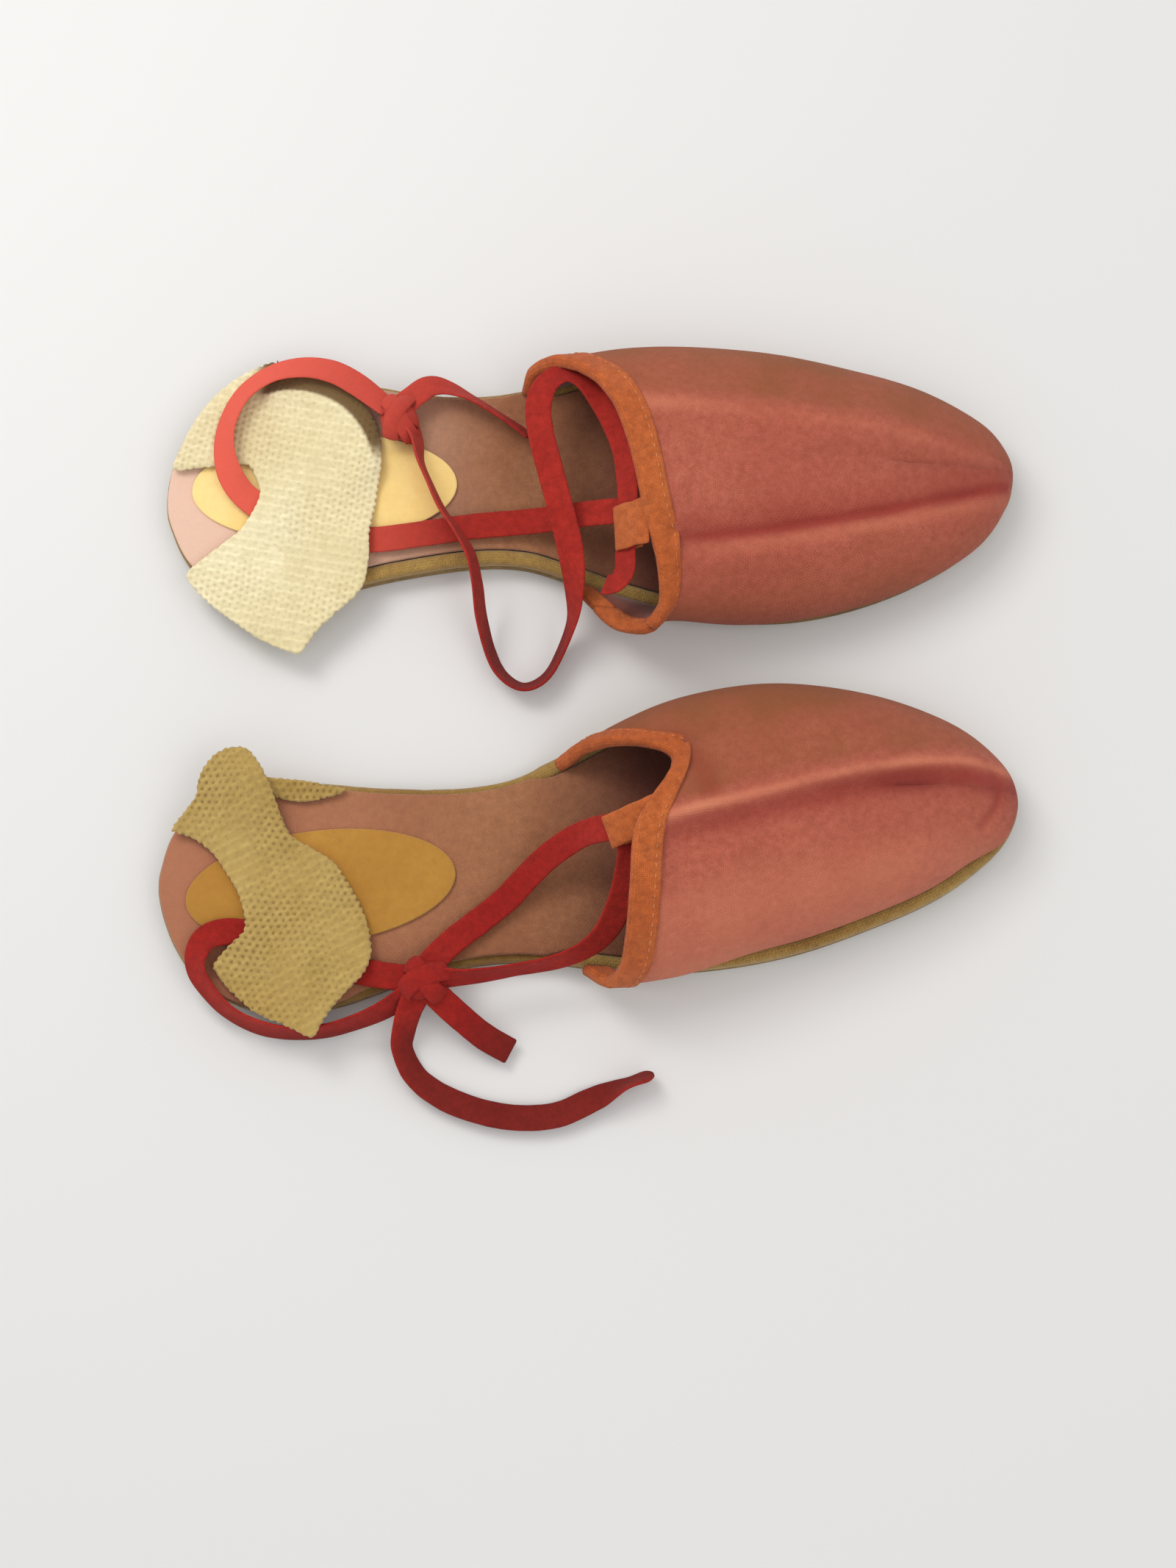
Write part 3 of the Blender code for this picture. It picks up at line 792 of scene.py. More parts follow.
def right_marks(spots, height):
    """Painted shade brown on the walls, low down and in the dent, painted shade dark red beside the raised
    fold, in the dent and along the toe crease, and a painted highlight on the fold and below it, for the
    right.
    """
    ridge = reach_to_line(FOLDS["right"][0]["line"][:-1] + [(247, 6)], spots)
    dent = reach_to_line([(152, 24), (158, 15), (160, 8)], spots)
    toe = reach_to_line(FOLDS["right"][2]["line"], spots)
    run = ease(0.150, 0.200, spots[:, 0])
    shade_and_stain = 0.50 * ease(0.001, 0.006, ridge) + 0.45 * ease(0.014, 0.028, ridge)
    shade_and_stain += 0.35 * ease(0.013, 0.004, height) + 0.25 * bell(dent, 4.0)
    crease_shade = (0.55 + 0.45 * run) * bell(ridge + 0.0042, 4.2) * (ridge < -0.0008) + 0.6 * bell(toe, 1.3)
    crease_shade += 0.40 * bell(dent, 3.5)
    painted_highlight = (0.9 - 0.25 * run) * bell(ridge, 1.5) + 0.42 * ease(-0.012, -0.030, ridge)
    return shade_and_stain, crease_shade, painted_highlight


MARKS = {"left": left_marks, "right": right_marks}
UPPERS = {side: Upper(side) for side in HANDS}
BOUND = 0.02
PRESSED_RADIUS = 0.016
CANVAS_PIECE = (0.125, 0.118)
SEAM_WELD = 0.00004
for side, upper in UPPERS.items():
    def canvas_at(u, v, upper=upper):
        return upper.point(BOUND + (1 - BOUND) * math.sin(v * math.pi / 2), u * 2 - 1)
    cloth = add_cloth_grid(72, 64, canvas_at, *CANVAS_PIECE)
    close_cloth(cloth, CANVAS_THICKNESS, 1, levels=1, weld=SEAM_WELD)
    pressed = bmesh.new()
    pressed.from_mesh(cloth.data)
    toe_seam = [v for v in pressed.verts if (v.co - Vector(upper.crest[-1])).length < PRESSED_RADIUS]
    for _ in range(12):
        bmesh.ops.smooth_vert(pressed, verts=toe_seam, factor=0.5, use_axis_x=True, use_axis_y=True,
                              use_axis_z=True)
    pressed.to_mesh(cloth.data)
    pressed.free()
    spots = np.array([v.co[:] for v in cloth.data.vertices])
    patchy = np.array([noise.noise(Vector(spot) * 70) for spot in spots])
    for attribute, value in zip(("shade_and_stain", "crease_shade", "painted_highlight"), MARKS[side](spots[:, :2], spots[:, 2])):
        stain = 0.22 * np.clip(patchy, 0, 1) if attribute == "shade_and_stain" else 0.0
        paint(cloth, attribute, np.clip(value * (1 + 0.5 * patchy) + stain, 0.0, 1.0))
    piece_from_active(side + "_vamp", side, CANVAS)


# Lining. A plain cotton copy of the canvas, set just inside it and caught by the same seams. It shows only
# in the shade of the throat.
LINING_CLOTH = cloth_material("cotton_lining", linear(132, 58, 44), linear(146, 76, 56), linear(84, 34, 24),
                              0.0006, 0.4, mottle=0.5, soil=0.4)
LINING_DEPTH = 0.0009
LINING_THICKNESS = 0.0006
LINING_MIDDLE = Vector((0.18, 0.0, 0.012))
for side, upper in UPPERS.items():
    def lining_at(u, v, upper=upper):
        return upper.point(BOUND + (1 - BOUND) * v, u * 2 - 1)
    cloth = add_cloth_grid(48, 40, lining_at, *CANVAS_PIECE)
    close_cloth(cloth, LINING_THICKNESS, -1, levels=0, weld=SEAM_WELD)
    for vertex in cloth.data.vertices:
        pull = LINING_MIDDLE - vertex.co
        pull.x *= 0.25
        vertex.co += pull.normalized() * LINING_DEPTH
        vertex.co.z = max(vertex.co.z, UPPER_BASE)
    piece_from_active(side + "_vamp_lining", side, LINING_CLOTH)


# Topline binding. Orange cotton tape folded over the raw edge of the throat and stitched through once. It
# shows less along the arch of the right shoe.
BINDING_REACH = 0.0070
SEEN_ON_EDGE = 0.62
BINDING_WALL = 0.0007
BINDING_PIECE = (0.130, 0.014)
BINDING_STATIONS = 150
THROAT_MIDDLE = Vector((0.17, 0.0, 0.01))
STITCH_HALVES = (0.0017, 0.00045, 0.00042)
STITCH_PLACE = 0.80
STITCH_HEIGHT = 0.00178
BINDING = cloth_material("orange_binding", linear(190, 92, 40), linear(206, 110, 52), linear(126, 54, 18),
                         0.0005, 0.6, mottle=0.6, soil=0.5, sheen=0.08)
THREAD = cloth_material("orange_thread", linear(206, 120, 66), linear(216, 138, 84), linear(140, 70, 30),
                        0.0003, 0.3)


def throat_frame(upper, share):
    """A place on the throat's edge, the way into the cloth there, and the way out of it."""
    across = share * 2 - 1
    step = 0.004
    edge = upper.point(0.0, across)
    inward = (upper.point(0.03, across) - edge).normalized()
    before = upper.point(0.0, max(-1.0, across - step))
    after = upper.point(0.0, min(1.0, across + step))
    outward = inward.cross((after - before).normalized())
    if outward.dot(edge - THROAT_MIDDLE) < 0:
        outward = -outward
    return edge, inward, outward.normalized()


def binding_share(side, u):
    """The share of its full reach that the binding takes at share u of the throat: less at the right arch."""
    if side == "left":
        return 1.0
    return SEEN_ON_EDGE + (1 - SEEN_ON_EDGE) * float(ease(0.26, 0.40, u))


def folded_profile(turn):
    """The binding's section, into the cloth and outward, from its inner edge over the fold to its outer."""
    inner, outer, nose = -0.0019, 0.0014, 0.0012
    if turn < 0.42:
        return BINDING_REACH * (1 - turn / 0.42) * 0.9 + nose * 0.2, inner
    if turn > 0.58:
        return BINDING_REACH * (turn - 0.58) / 0.42 + nose * 0.2, outer
    angle = (turn - 0.42) / 0.16 * math.pi
    middle, half = (inner + outer) / 2, (outer - inner) / 2
    return nose * 0.2 - nose * math.sin(angle), middle - half * math.cos(angle)


for side, upper in UPPERS.items():
    ring = [throat_frame(upper, i / BINDING_STATIONS) for i in range(BINDING_STATIONS + 1)]

    def binding_at(u, v, ring=ring, side=side):
        edge, inward, outward = ring[min(int(round(u * BINDING_STATIONS)), BINDING_STATIONS)]
        into, out = folded_profile(v)
        into *= binding_share(side, u)
        ripple = 0.00022 * noise.noise(edge * 260 + Vector((0, 0, v * 3)))
        return edge + inward * into + outward * (out + ripple)
    strip = add_cloth_grid(BINDING_STATIONS, 24, binding_at, *BINDING_PIECE)
    close_cloth(strip, BINDING_WALL, 0, levels=0)
    for vertex in strip.data.vertices:
        vertex.co.z = max(vertex.co.z, UPPER_BASE - 0.0002)
    piece_from_active(side + "_topline_binding", side, BINDING)

    # One line of orange stitches holds it, just inside its outer edge.
    bpy.ops.object.select_all(action="DESELECT")
    bpy.ops.mesh.primitive_uv_sphere_add(segments=6, ring_count=5, radius=0.5)
    stitches = bpy.context.object
    grain = bmesh.new()
    grain.from_mesh(stitches.data)
    row = bmesh.new()
    for i in range(4, 147, 3):
        edge, inward, outward = ring[i]
        along = (ring[i + 1][0] - ring[i - 1][0]).normalized()
        reach = BINDING_REACH * STITCH_PLACE * binding_share(side, i / BINDING_STATIONS)
        axes = [way * half for way, half in zip((along, inward, outward), STITCH_HALVES)]
        turned = Matrix(axes).transposed().to_4x4()
        turned.translation = edge + inward * reach + outward * STITCH_HEIGHT
        made = {}
        for vertex in grain.verts:
            made[vertex.index] = row.verts.new(turned @ vertex.co)
        for face in grain.faces:
            row.faces.new([made[v.index] for v in face.verts])
    bmesh.ops.recalc_face_normals(row, faces=row.faces)
    row.to_mesh(stitches.data)
    grain.free()
    row.free()
    bpy.ops.object.shade_smooth()
    set_plan_uvs(stitches)
    stitches.name = side + "_binding_stitches"
    stitches.data.transform(PLACES[side])
    stitches.data.materials.append(THREAD)
    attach(stitches, side + "_shoe")


# Throat tab. A doubled loop of the binding tape, caught in the binding, that the tie passes through. Like
# the ties it is a strip laid along a path, its edges a little uneven.
TAPE_THICKNESS = 0.0009
EDGE_WANDER = 0.00035
END_SHARE = 0.25


def add_strip(path, sides, width, thickness, seed=0.0, cup=0.00025, rounded_end=0.0):
    """A woven tape along a path: slightly cupped, its edges a little uneven, its end rounded if asked."""
    length = float(np.sum(np.linalg.norm(np.diff(path, axis=0), axis=1)))
    tangents = np.gradient(path, axis=0)
    rows = len(path) - 1

    def tape_at(u, v):
        i = min(int(round(v * rows)), rows)
        spot, across = Vector(path[i]), sides[i]
        face = Vector(tangents[i]).normalized().cross(across).normalized()
        reach = (u - 0.5) * width
        left_over = (1 - v) * length
        if left_over < rounded_end:
            reach *= END_SHARE + (1 - END_SHARE) * math.sqrt(1 - (1 - left_over / rounded_end) ** 2)
        wander = EDGE_WANDER * noise.noise(Vector((v * length * 90, seed, u * 0.8)))
        rise = cup * (2 * abs(u - 0.5)) ** 2 + wander
        uneven = 1 + 0.04 * noise.noise(Vector((v * length * 300, seed, 5.0)))
        return spot + across * (reach * uneven) + face * rise
    strip = add_cloth_grid(6, rows, tape_at, width, length)
    close_cloth(strip, thickness, 0, levels=1)
    return strip, length


TABS = {"left": dict(root=(140.2, -16.6, 35.4), length=8.2, width=0.0134, turn=2, twist=0),
        "right": dict(root=(144.4, 3.4, 38.2), length=14.2, width=0.0098, turn=14, twist=16, drop=0.5)}
TAB_PROFILE = [(-0.1, 0.03), (0.12, -0.03), (0.5, -0.38), (0.9, -0.78), (1.03, -0.99), (0.93, -1.09),
               (0.5, -0.80), (0.1, -0.50)]
TAB_POINTS = 40
for side, tab in TABS.items():
    swing = Matrix.Rotation(math.radians(180 + tab["turn"]), 3, "Z")
    route = []
    for reach, drop in TAB_PROFILE:
        fall = drop * tab.get("drop", 1.0)
        route.append(tuple(Vector(tab["root"]) + swing @ Vector((reach, 0, fall)) * tab["length"]))
    path = even_path(route, TAB_POINTS) * MM
    sides = []
    for i in range(TAB_POINTS):
        lean = math.radians(tab["twist"]) * math.sin(math.pi * i / TAB_POINTS)
        sides.append(swing @ Vector((0, -math.cos(lean), math.sin(lean))))
    add_strip(path, sides, tab["width"], TAPE_THICKNESS, seed=3.0, cup=0.0)
    piece_from_active(side + "_throat_tab", side, BINDING)


# Tie tapes. Each shoe has one length of red cotton tape, run through its tab, round the heel and knotted.
# Its stand, the last number of each place on a route, is 0 where it lies flat and 90 where it is on edge.
TAPE_WIDTH = 0.0078
ROUTE_STEPS = 5
SLING_BEND = (0.062, 0.046)
TAPE_REDS = {side: cloth_material(side + "_tie_tape", linear(166, 27, 20), linear(186, 46, 34),
                                  linear(96, 11, 9), 0.00045, 0.6, mottle=0.5, soil=0.15, sheen=0.03)
             for side in HANDS}
# Painted light: the left tie paler round the left heel. Painted shade: both ties darker the lower they lie,
# fully at 3 mm and not at all from 11 mm up.
paint_light_and_shade_along(TAPE_REDS["left"], linear(238, 104, 86), -0.105, -0.020, 0.75, by="Object")
for side in HANDS:
    paint_light_and_shade_along(TAPE_REDS[side], linear(70, 20, 14), 0.003, 0.011, 0.55, by="Object", axis="Z")
TIES = {
    "left_heel_tape": dict(bends=SLING_BEND, route=[
        (137, -11, 25.6, 0), (132, -10.6, 23, 0), (127, -10.2, 20.8, 0), (120, -10, 17.2, 0),
        (112, -10, 13.6, 0), (103, -10, 10.9, 0), (90, -10.5, 9.9, 0), (77, -12, 9.8, 0),
        (61, -13.5, 9.8, 0), (47, -12, 9.8, 0), (35, -6.5, 9.8, 0), (28, -2.8, 10.0, 0),
        (22.5, 2, 11.6, 4), (19.3, 8, 13.0, 16), (18.2, 15, 13.1, 34), (19.5, 23, 13.1, 40),
        (24, 31, 12.9, 40), (32, 36.7, 12.7, 34), (41, 38.5, 12.7, 26), (50, 37, 12.8, 16),
        (57, 33, 13.2, 14), (63, 28, 13.8, 25), (67, 24, 14.2, 35)]),
    "left_loop_tape": dict(route=[
        (72.6, 20.8, 13.6, 55), (74.6, 15.4, 13.8, 66), (75.4, 9, 14.0, 76), (78, 2, 14.0, 78),
        (81.6, -6, 14.3, 76), (86, -13, 14.3, 72), (89.5, -20, 14, 68), (91, -28, 13.2, 68),
        (92, -37, 8.7, 66), (93.8, -46, 4.6, 66), (97.4, -54, 4.3, 64), (103.8, -58, 4.3, 64),
        (110.5, -55, 4.3, 66), (115.5, -47, 5.2, 68), (119, -38.5, 11, 62), (119.6, -30, 16.5, 42),
        (118.8, -21, 20.5, 10), (116.4, -10, 23.2, 0), (113.6, 2, 24.6, 0), (111.2, 13, 25, 0),
        (110.8, 21.5, 25, 4), (113.5, 28, 24.6, 18), (119.5, 30.8, 24.2, 30), (125.5, 27.5, 25, 20),
        (130.5, 19.5, 26.6, -20), (134.2, 9, 28.4, -36), (135.6, -1, 29.2, -40), (135.8, -9, 28.9, -42),
        (135.2, -17, 28.6, -42), (134.6, -24, 28.2, -42), (134.2, -29, 26.8, -38), (131.6, -32, 24.4, -30),
        (128, -32, 22.4, -30)]),
    "left_bow_end": dict(route=[
        (70.5, 25.5, 13.6, 10), (75, 29.2, 13.2, 12), (79, 31.6, 12.6, 20), (84, 31, 12.4, 45),
        (90, 28, 12.6, 64), (97, 23.5, 12.8, 70), (104, 18.5, 12.6, 66), (108, 15.2, 12.6, 66)]),
    "right_upper_strap": dict(route=[
        (137.5, 1.8, 31.0, 0), (132.5, 1.6, 29.9, 0), (128.5, 1.8, 27.4, 0), (124.5, 1.6, 24, 0),
        (119.9, 0.4, 20.5, 0), (113, -2.9, 16.5, 0), (106.5, -7.5, 13.4, 0), (99.9, -12.8, 11, 0),
        (92, -17.8, 10.1, 0), (83.7, -22.8, 10.3, 0), (78.5, -26.8, 11.6, 4), (75, -30, 13.2, 10)]),
    "right_lower_strap": dict(route=[
        (134.8, 1.0, 29.6, 12), (136, -1.8, 29.6, 12), (136, -6, 28.4, 12), (134.6, -11.6, 25, 6),
        (131.6, -19, 20.5, 12), (126.8, -26, 16.5, 32), (119.5, -30.6, 13.8, 54), (108.2, -32.8, 12.8, 66),
        (97.3, -33.6, 12.7, 68), (86.4, -33.8, 12.9, 62), (79, -33.4, 13.4, 45)]),
    "right_heel_tape": dict(bends=SLING_BEND, route=[
        (72.5, -35, 12.4, 30), (68, -37.3, 11.2, 40), (60, -40.6, 9.2, 54), (51, -42.9, 7.8, 62),
        (42, -43.9, 7.2, 64), (32, -43.0, 7.2, 64), (22.5, -39.4, 7.8, 62), (14.5, -32.2, 9.2, 56),
        (9.5, -23, 11.0, 42), (11.5, -15.5, 11.2, 15), (17, -12.8, 10.1, 0), (25, -14, 9.8, 0),
        (33, -18.5, 9.8, 0), (43, -23.8, 9.8, 0), (54, -28, 9.8, 0), (64, -31, 10.2, 0),
        (70.5, -32.6, 12.2, 0)]),
    "right_short_end": dict(body="right_short_tie", route=[
        (75.2, -36, 13, 0), (78.5, -40, 11.2, 0), (83, -45, 8.6, 0), (89, -51, 5.5, 0), (96, -56, 3, 0)]),
    "right_long_end": dict(body="right_long_tie", rounded_end=0.004, route=[
        (71.5, -36.8, 12.4, 10), (68.4, -41.5, 9.8, 26), (66, -47, 6.5, 35), (65, -52, 4.6, 40),
        (68, -60, 3.4, 30), (75, -66.5, 2.8, 20), (85, -71.8, 2.6, 15), (96, -75, 2.6, 15),
        (107, -75.4, 2.6, 15), (117, -72.5, 2.8, 20), (124, -70.2, 3.4, 48), (129, -68.9, 4.2, 66),
        (136, -67.2, 4.4, 58)]),
}


def strip_sides(path, stands):
    """Across-the-tape directions along a path; a steep stretch keeps the heading of what leads to it."""
    tangents = np.gradient(path, axis=0)
    heading = Vector((1, 0, 0))
    sides = []
    for tangent, stand in zip(tangents, stands):
        tangent = Vector(tangent).normalized()
        flat = Vector((tangent.x, tangent.y, 0))
        if flat.length > 0.25:
            heading = flat.normalized()
        level = Vector((0, 0, 1)).cross(heading).normalized()
        above = tangent.cross(level).normalized()
        angle = math.radians(stand)
        sides.append(level * math.cos(angle) - above * math.sin(angle))
    return sides


def route_path(route):
    """Path in metres and stands in degrees from a route of (x, y, z, stand) in millimetres."""
    fine = smooth_path(route, 16)
    run = run_along(fine[:, :3])
    even = read_at(np.linspace(0, run[-1], len(route) * ROUTE_STEPS), run, fine)
    return even[:, :3] * MM, even[:, 3]


def lay_tie(name, seed, route, body=None, rounded_end=0.0, bends=None):
    """One run of the tie, laid from a route; gives back the piece, its world path and its length."""
    side = name.split("_")[0]
    path, stands = route_path(route)
    _, length = add_strip(path, strip_sides(path, stands), TAPE_WIDTH, TAPE_THICKNESS, seed,
                          rounded_end=rounded_end)
    piece = piece_from_active(name, side, TAPE_REDS[side], body=body, bends=bends)
    return piece, [tuple(PLACES[side] @ Vector(p)) for p in path], length


LAID = {name: lay_tie(name, 1.0 + number, **tie) for number, (name, tie) in enumerate(TIES.items())}


# Knots. The tape's turns round itself, drawn up tight: short wraps over a small core of squeezed tape. The
# two tape ends of the right shoe leave from its knot.
KNOTS = {
    "left": dict(centre=(69.6, 21.8, 13.0), size=(9.6, 14.0, 7.4), turn=20,
                 wraps=[(84, -10, 195, 6.4), (22, -20, 200, 5.4), (-38, 10, 170, 5.0)]),
    "right": dict(centre=(74.0, -33.5, 12.6), size=(14.0, 9.5, 7.2), turn=-8,
                  wraps=[(2, -15, 200, 7.2), (54, -10, 190, 6.0), (-56, -5, 185, 6.0)]),
}
CORE_SHARE = 0.88
WRAP_STEPS = 30
WRAP_THICKNESS = 0.0008
WRAP_CUP = -0.0007
KNOT_PIECES = {}
for side, knot in KNOTS.items():
    middle = Vector(knot["centre"]) * MM
    half = Vector(knot["size"]) * MM / 2
    turned = Matrix.Rotation(math.radians(knot["turn"]), 3, "Z")
    bpy.ops.object.select_all(action="DESELECT")
    bpy.ops.mesh.primitive_uv_sphere_add(segments=40, ring_count=24, radius=1.0)
    core = bpy.context.object
    for vertex in core.data.vertices:
        way = vertex.co.copy()
        pleat = 0.07 * math.sin(math.atan2(way.z, way.y) * 9 + way.x * 3) + 0.10 * noise.noise(way * 2.3)
        vertex.co = middle + turned @ (way * half) * (CORE_SHARE + pleat)
    bpy.ops.object.shade_smooth()
    set_plan_uvs(core)
    KNOT_PIECES[side] = [piece_from_active(side + "_knot_core", side, TAPE_REDS[side], nodes=())]
    wrapped = []
    for number, (lean, start, stop, width) in enumerate(knot["wraps"]):
        heading = turned @ Matrix.Rotation(math.radians(lean), 3, "Z")
        path = []
        for i in range(WRAP_STEPS + 1):
            angle = math.radians(start + (stop - start) * i / WRAP_STEPS)
            away = heading @ Vector((0.0, math.cos(angle), math.sin(angle)))
            local = turned.transposed() @ away
            reach = 1 / math.sqrt(sum((part / radius) ** 2 for part, radius in zip(local, half)))
            drift = heading @ Vector((0.0012 * math.sin(angle * 1.3 + number), 0, 0))
            path.append(tuple(middle + away * (reach + 0.0004 + 0.0005 * number) + drift))
        sides = [heading @ Vector((1, 0, 0))] * len(path)
        strip, _ = add_strip(np.array(path), sides, width * MM, WRAP_THICKNESS, seed=11.0 + number,
                             cup=WRAP_CUP)
        wrapped.append(strip)
    bpy.ops.object.select_all(action="DESELECT")
    for strip in wrapped:
        strip.select_set(True)
    bpy.context.view_layer.objects.active = wrapped[0]
    bpy.ops.object.join()
    KNOT_PIECES[side].append(piece_from_active(side + "_tie_knot", side, TAPE_REDS[side]))


# Heel slings. Cream cotton knit with a honeycomb of small pits, cut raw at the edges. They have dropped on
# the heel, over a run of the tie.
KNIT_PITCH = 0.0021
KNIT_STEP = 0.0008
KNIT_THICKNESS = 0.0015
PIT_DEPTH = 0.00035
AGE_MARK = linear(150, 128, 84)
# Painted shadow: the dark olive laid on the left sling's hem where the tape shades it.
HEM_SHADOW_OLIVE = linear(104, 76, 30)


def honeycomb(x, y):
    """How deep in a pit a place is, 0 to 1, on a staggered pattern that the worn cloth has pulled about."""
    x += 0.0011 * noise.noise(Vector((x * 75, y * 75, 4.0)))
    y += 0.0011 * noise.noise(Vector((x * 75, y * 75, 9.0)))
    turns = math.tau * 2 / math.sqrt(3) / KNIT_PITCH
    total = sum(math.cos(turns * (x * math.cos(a) + y * math.sin(a)))
                for a in (0.0, math.tau / 6, math.tau / 3))
    share = min(1.0, max(0.0, (total - 0.3) / 2.2))
    strength = min(1.0, max(0.0, 0.62 + 1.1 * noise.noise(Vector((x * 60, y * 60, 13.0)))))
    return share * share * (3 - 2 * share) * strength


def knit_material(name, colour, aged, pit_colour, pit_shade_share):
    """Fuzzy cream cotton: ribs with painted shade in the furrows between them, painted shade in the pits, a
    yarn's fine fibres and some brownish age marks.
    """
    material, places, wear = fabric_material(name, 0.95, 0.2, 0.35, 0.5)
    tree = material.node_tree
    pits, hem = attribute_node(tree, "pit"), attribute_node(tree, "hem")
    rows = tree.nodes.new("ShaderNodeTexWave")
    rows.bands_direction = "Y"
    rows.inputs["Scale"].default_value = 115.0
    rows.inputs["Distortion"].default_value = 1.6
    rows.inputs["Detail Scale"].default_value = 60.0
    tree.links.new(places.outputs["UV"], rows.inputs["Vector"])
    furrows = math_node(tree, "SUBTRACT", 1.0, rows.outputs["Fac"])
    tone = mix_colours(tree, wear.outputs["Fade"], colour, aged)
    # Painted shade in the pits and furrows, random mottle and age spots, and the painted shadow of the tape
    # on the left hem.
    for mask, amount, darker in ((wear.outputs["Mottle"], 0.30, pit_colour), (pits, pit_shade_share, pit_colour),
                                 (furrows, 0.16, pit_colour), (wear.outputs["Spots"], 0.22, AGE_MARK),
                                 (hem, 0.95, HEM_SHADOW_OLIVE)):
        tone = tint_node(tree, mask, amount, tone, darker)
    tree.links.new(tone, tree.nodes["Principled BSDF"].inputs["Base Color"])
    fibres = noise_node(tree, places.outputs["Object"], 2600.0, 3.0, 0.65)
    ribs = math_node(tree, "MULTIPLY", rows.outputs["Fac"], 0.5)
    relief_node(tree, math_node(tree, "MULTIPLY_ADD", fibres, 0.9, ribs), 0.55, 0.0005)
    return material


# The left sling is much paler than the right: partly the right one's own yellowing, partly painted light for
# the brighter-lit left heel.
KNITS = {"left": knit_material("cream_knit", linear(248, 238, 200), linear(236, 222, 176),
                               linear(168, 148, 96), 0.34),
         "right": knit_material("yellowed_knit", linear(196, 168, 100), linear(182, 150, 80),
                                linear(108, 80, 32), 0.62)}
SLING_OUTLINES = {
    "left": [(2.8, 9.2), (4.2, 15), (8.5, 23.5), (14, 30.8), (20, 36), (27, 40), (33.5, 42), (34, 41),
             (31, 38.4), (30.2, 36.4), (33, 36.2), (39, 37), (48.5, 35), (57.5, 29.8), (63.2, 20),
             (64.2, 10), (62.5, -2), (60.5, -12), (60, -20), (57.5, -28.5), (50, -35.5), (44, -41),
             (40, -46.2), (37.5, -47), (27, -42.3), (19, -36.5), (11, -29.8), (6.2, -23.5), (6.8, -21),
             (11, -17.5), (17, -13), (22.5, -8.6), (26.5, -3), (28, 2), (26.2, 7.4), (24.4, 9.8), (22.5, 10),
             (12, 9.6)],
    "right": [(6, 18), (9.5, 22.5), (14, 27), (15, 31), (18.5, 36), (24, 39.2), (30, 39), (33.5, 35),
              (36, 29), (40, 14), (46, 8.6), (52, 3.5), (57, -6), (59.5, -14), (60, -24), (57, -30),
              (51, -35), (45, -41), (42, -45.4), (39.5, -46), (33, -42), (25, -37.4), (18, -30),
              (14.2, -23.5), (14.6, -21), (19, -17), (23.5, -13.4), (24.4, -11), (23.6, -4), (20.5, 3.5),
              (16.5, 10.5), (11.5, 15)],
}
LEFT_RUN = even_path(np.array(TIES["left_heel_tape"]["route"])[8:13, :2] * MM, 24)
RIGHT_RUN = even_path(np.array(TIES["right_heel_tape"]["route"])[9:16, :2] * MM, 24)
BROW_POINTS = [(27, 30.2), (37, 31.4), (47, 29.2), (54, 24.4), (59, 17), (61.5, 9)]
LEFT_BROW = even_path(np.array(BROW_POINTS) * MM, 40)
HEM_MIDDLE = (0.044, 0.012)


def over_line(line, reach, power, x, y):
    """One on a line and nothing well away from it: how far the cloth is lifted by what lies under it."""
    return math.exp(-(line_reach(line, x, y)[0] / reach) ** power)


def left_hem(x, y):
    """How far a place is past the left sling's brow, on the hem that turns down under the tape, 0 to 1; the
    cloth dips there and is painted dark olive as the tape's shadow.
    """
    if x < 0.026 or y < 0.008:
        return 0.0
    away, where = line_reach(LEFT_BROW, x, y)
    brow = read_path(LEFT_BROW, where)
    past = math.dist((x, y), HEM_MIDDLE) > math.dist(brow.xy, HEM_MIDDLE)
    return float(ease(0.0002, 0.0012, away) * past * ease(0.026, 0.031, x) * ease(0.008, 0.016, y))


def left_sling_height(x, y):
    """Middle of the cloth, in metres: over the tape, up at the free edge, down over the sole's rim."""
    tape = over_line(LEFT_RUN, 0.0075, 2.4, x, y)
    z = 0.0102 + 0.0016 * tape
    z += 0.0008 * math.exp(-((x - 0.060) / 0.006) ** 2)
    z += 0.0020 * noise.noise(Vector((x * 42, y * 42, 2.2))) * (1 - 0.7 * tape)
    z += 0.0007 * noise.noise(Vector((x * 120, y * 95, 6.1)))
    z -= 0.0022 * max(0.0, (-y - 0.040) / 0.006)
    crest = over_line(LEFT_BROW, 0.0035, 2, x, y)
    z = max(z, 0.0097) + 0.0015 * crest * float(ease(0.027, 0.035, x)) - 0.0006 * left_hem(x, y)
    if y > 0.0095:
        over = max(0.0, math.hypot(x - 0.034, y) - 0.034) / 0.006
        flap = 0.0099 - 0.0012 * min(1.0, over) + 0.0004 * noise.noise(Vector((x * 60, y * 60, 2.2)))
        flap += 0.0005 * math.exp(-((y - 0.0108) / 0.0010) ** 2)
        z = flap + (z - flap) * float(ease(0.0245, 0.0315, x))
    return z


def right_sling_height(x, y):
    """The same for the right sling: over its tape, well up at the folded corner, and up at both ends."""
    tape = over_line(RIGHT_RUN, 0.0075, 2.4, x, y)
    z = 0.0104 + 0.0015 * tape
    upper = min(1.0, max(0.0, (y - 0.002) / 0.034))
    z += 0.0050 * upper ** 1.4
    z += 0.0024 * math.exp(-(math.hypot(x - 0.030, y - 0.030) / 0.009) ** 2)
    z += 0.0021 * noise.noise(Vector((x * 48, y * 48, 7.7))) * (1 - 0.6 * tape)
    z += 0.0008 * noise.noise(Vector((x * 130, y * 110, 3.1)))
    z += 0.0016 * min(1.0, max(0.0, (-y - 0.032) / 0.010))
    z += 0.0010 * math.exp(-((x - 0.058) / 0.005) ** 2)
    return max(z, 0.0097)


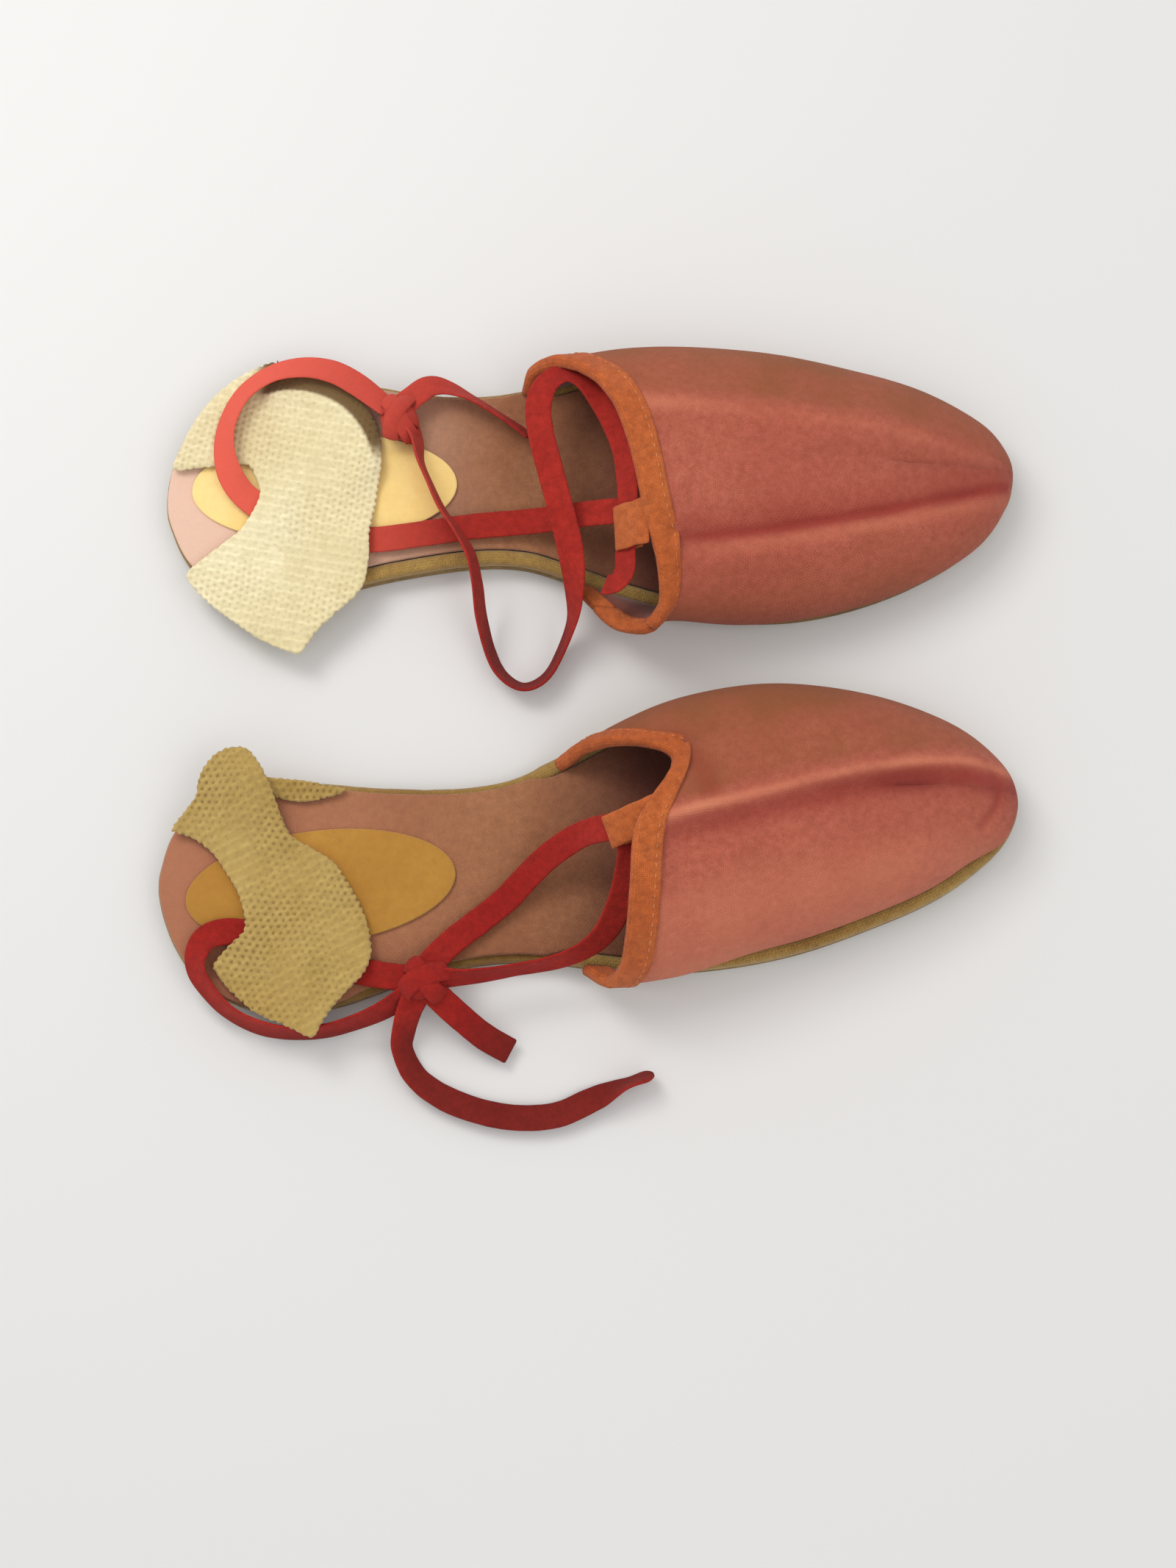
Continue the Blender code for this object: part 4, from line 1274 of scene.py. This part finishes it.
SLING_HEIGHTS = {"left": left_sling_height, "right": right_sling_height}
SLING_HEMS = {"left": {"hem": left_hem}, "right": {}}
SCALLOPS = {"left": 0.0003, "right": 0.00055}
GRAIN_TURNS = {"left": math.radians(12), "right": math.radians(-20)}


def inside(loop, x, y):
    """Whether points lie inside a closed loop in plan; all are arrays."""
    within = np.zeros(len(x), bool)
    for (ax, ay), (bx, by) in zip(loop, np.roll(loop, -1, axis=0)):
        crosses = (ay > y) != (by > y)
        with np.errstate(divide="ignore", invalid="ignore"):
            cut = ax + (y - ay) * (bx - ax) / (by - ay)
        within ^= crosses & (x < cut)
    return within


def ragged(loop, depth, pitch):
    """The cut edge follows the pits: small scallops all along it."""
    run = run_along(loop)
    spots = np.arange(0, run[-1], pitch / 5)
    even = read_at(spots, run, loop)
    along = np.roll(even, -1, axis=0) - np.roll(even, 1, axis=0)
    along /= np.maximum(np.linalg.norm(along, axis=1)[:, None], 1e-9)
    wave = np.abs(np.sin(math.pi * spots / pitch))[:, None] * depth
    return even + np.stack([along[:, 1], -along[:, 0]], axis=1) * wave


def add_knit(outline, height, scallop, grain_turn, hem=lambda x, y: 0.0):
    """A knitted cloth cut to an outline and laid at a height that the function gives at each place."""
    loop = ragged(smooth_path(np.array(outline) * MM, 8, closed=True), scallop, KNIT_PITCH)
    low, high = loop.min(axis=0), loop.max(axis=0)
    span = high - low
    columns, rows = (int(math.ceil(s / KNIT_STEP)) for s in span)
    bpy.ops.object.select_all(action="DESELECT")
    bpy.ops.mesh.primitive_grid_add(x_subdivisions=columns, y_subdivisions=rows, size=2.0)
    item = bpy.context.object
    shaped = bmesh.new()
    shaped.from_mesh(item.data)
    for vertex in shaped.verts:
        vertex.co.x = low[0] + (vertex.co.x + 1) / 2 * span[0]
        vertex.co.y = low[1] + (vertex.co.y + 1) / 2 * span[1]
    shaped.faces.ensure_lookup_table()
    centres = np.array([f.calc_center_median().xy[:] for f in shaped.faces])
    keep = inside(loop, centres[:, 0], centres[:, 1])
    bmesh.ops.delete(shaped, geom=[f for f, k in zip(shaped.faces, keep) if not k], context="FACES")
    bmesh.ops.delete(shaped, geom=[v for v in shaped.verts if not v.link_faces], context="VERTS")
    step = np.roll(loop, -1, axis=0) - loop
    for vertex in shaped.verts:
        if vertex.is_boundary:
            here = np.array(vertex.co.xy)
            t = np.clip(((here - loop) * step).sum(axis=1) / np.maximum((step ** 2).sum(axis=1), 1e-12), 0, 1)
            near = loop + step * t[:, None]
            vertex.co.x, vertex.co.y = near[np.argmin(((near - here) ** 2).sum(axis=1))]
        vertex.co.z = height(vertex.co.x, vertex.co.y)
    shaped.to_mesh(item.data)
    shaped.free()
    close_cloth(item, KNIT_THICKNESS, 0, levels=1)
    layer = item.data.uv_layers.active
    turned = Matrix.Rotation(grain_turn, 2)
    for entry in item.data.loops:
        layer.data[entry.index].uv = turned @ item.data.vertices[entry.vertex_index].co.xy
    sinks = [(v.normal.copy(), honeycomb(*(turned @ v.co.xy))) for v in item.data.vertices]
    paint(item, "pit", [pit for _, pit in sinks])
    paint(item, "hem", [hem(v.co.x, v.co.y) for v in item.data.vertices])
    for vertex, (normal, pit) in zip(item.data.vertices, sinks):
        vertex.co -= normal * pit * PIT_DEPTH
    return item


for side in HANDS:
    add_knit(SLING_OUTLINES[side], SLING_HEIGHTS[side], SCALLOPS[side], GRAIN_TURNS[side], **SLING_HEMS[side])
    piece_from_active(side + "_heel_sling", side, KNITS[side], bends=SLING_BEND)

# The right sling's other end lies along the arch side of the sole, where it is caught under the edge band.
ROOT_OUTLINE = [(33, 30.5), (38, 30), (45, 28.5), (56, 25.2), (58, 24), (52, 22.3), (44, 22), (37, 24),
                (33.5, 27)]
ROOT_SCALLOP = 0.0003


def root_height(x, y):
    ripple = noise.noise(Vector((x * 110, y * 110, 1.0)))
    return 0.0096 + 0.0012 * max(0.0, (y - 0.024) / 0.006) + 0.0007 * ripple


add_knit(ROOT_OUTLINE, root_height, ROOT_SCALLOP, GRAIN_TURNS["right"])
right_root = piece_from_active("right_sling_root", "right", KNITS["right"], nodes=())


# What is soft. The ties' pieces, paths and laid lengths and the slings' widths and lengths in plan are looked
# up here; nothing more is done with them.
for name, far_end, with_pieces in (("left_heel_tape", "knot", KNOT_PIECES["left"]),
                                   ("left_loop_tape", "object", [LAID["left_bow_end"][0]]),
                                   ("right_upper_strap", "knot", KNOT_PIECES["right"]),
                                   ("right_lower_strap", "knot", [LAID["right_short_end"][0]]),
                                   ("right_heel_tape", "knot", ()),
                                   ("right_long_end", "bare", ())):
    piece, path, length = LAID[name]
for side in HANDS:
    loop = smooth_path(np.array(SLING_OUTLINES[side]) * MM, 8, closed=True)
    width, length = loop.max(axis=0) - loop.min(axis=0)
size = {"cad": [list(c) for c in cad_box], "visual": [list(c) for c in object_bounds()]}
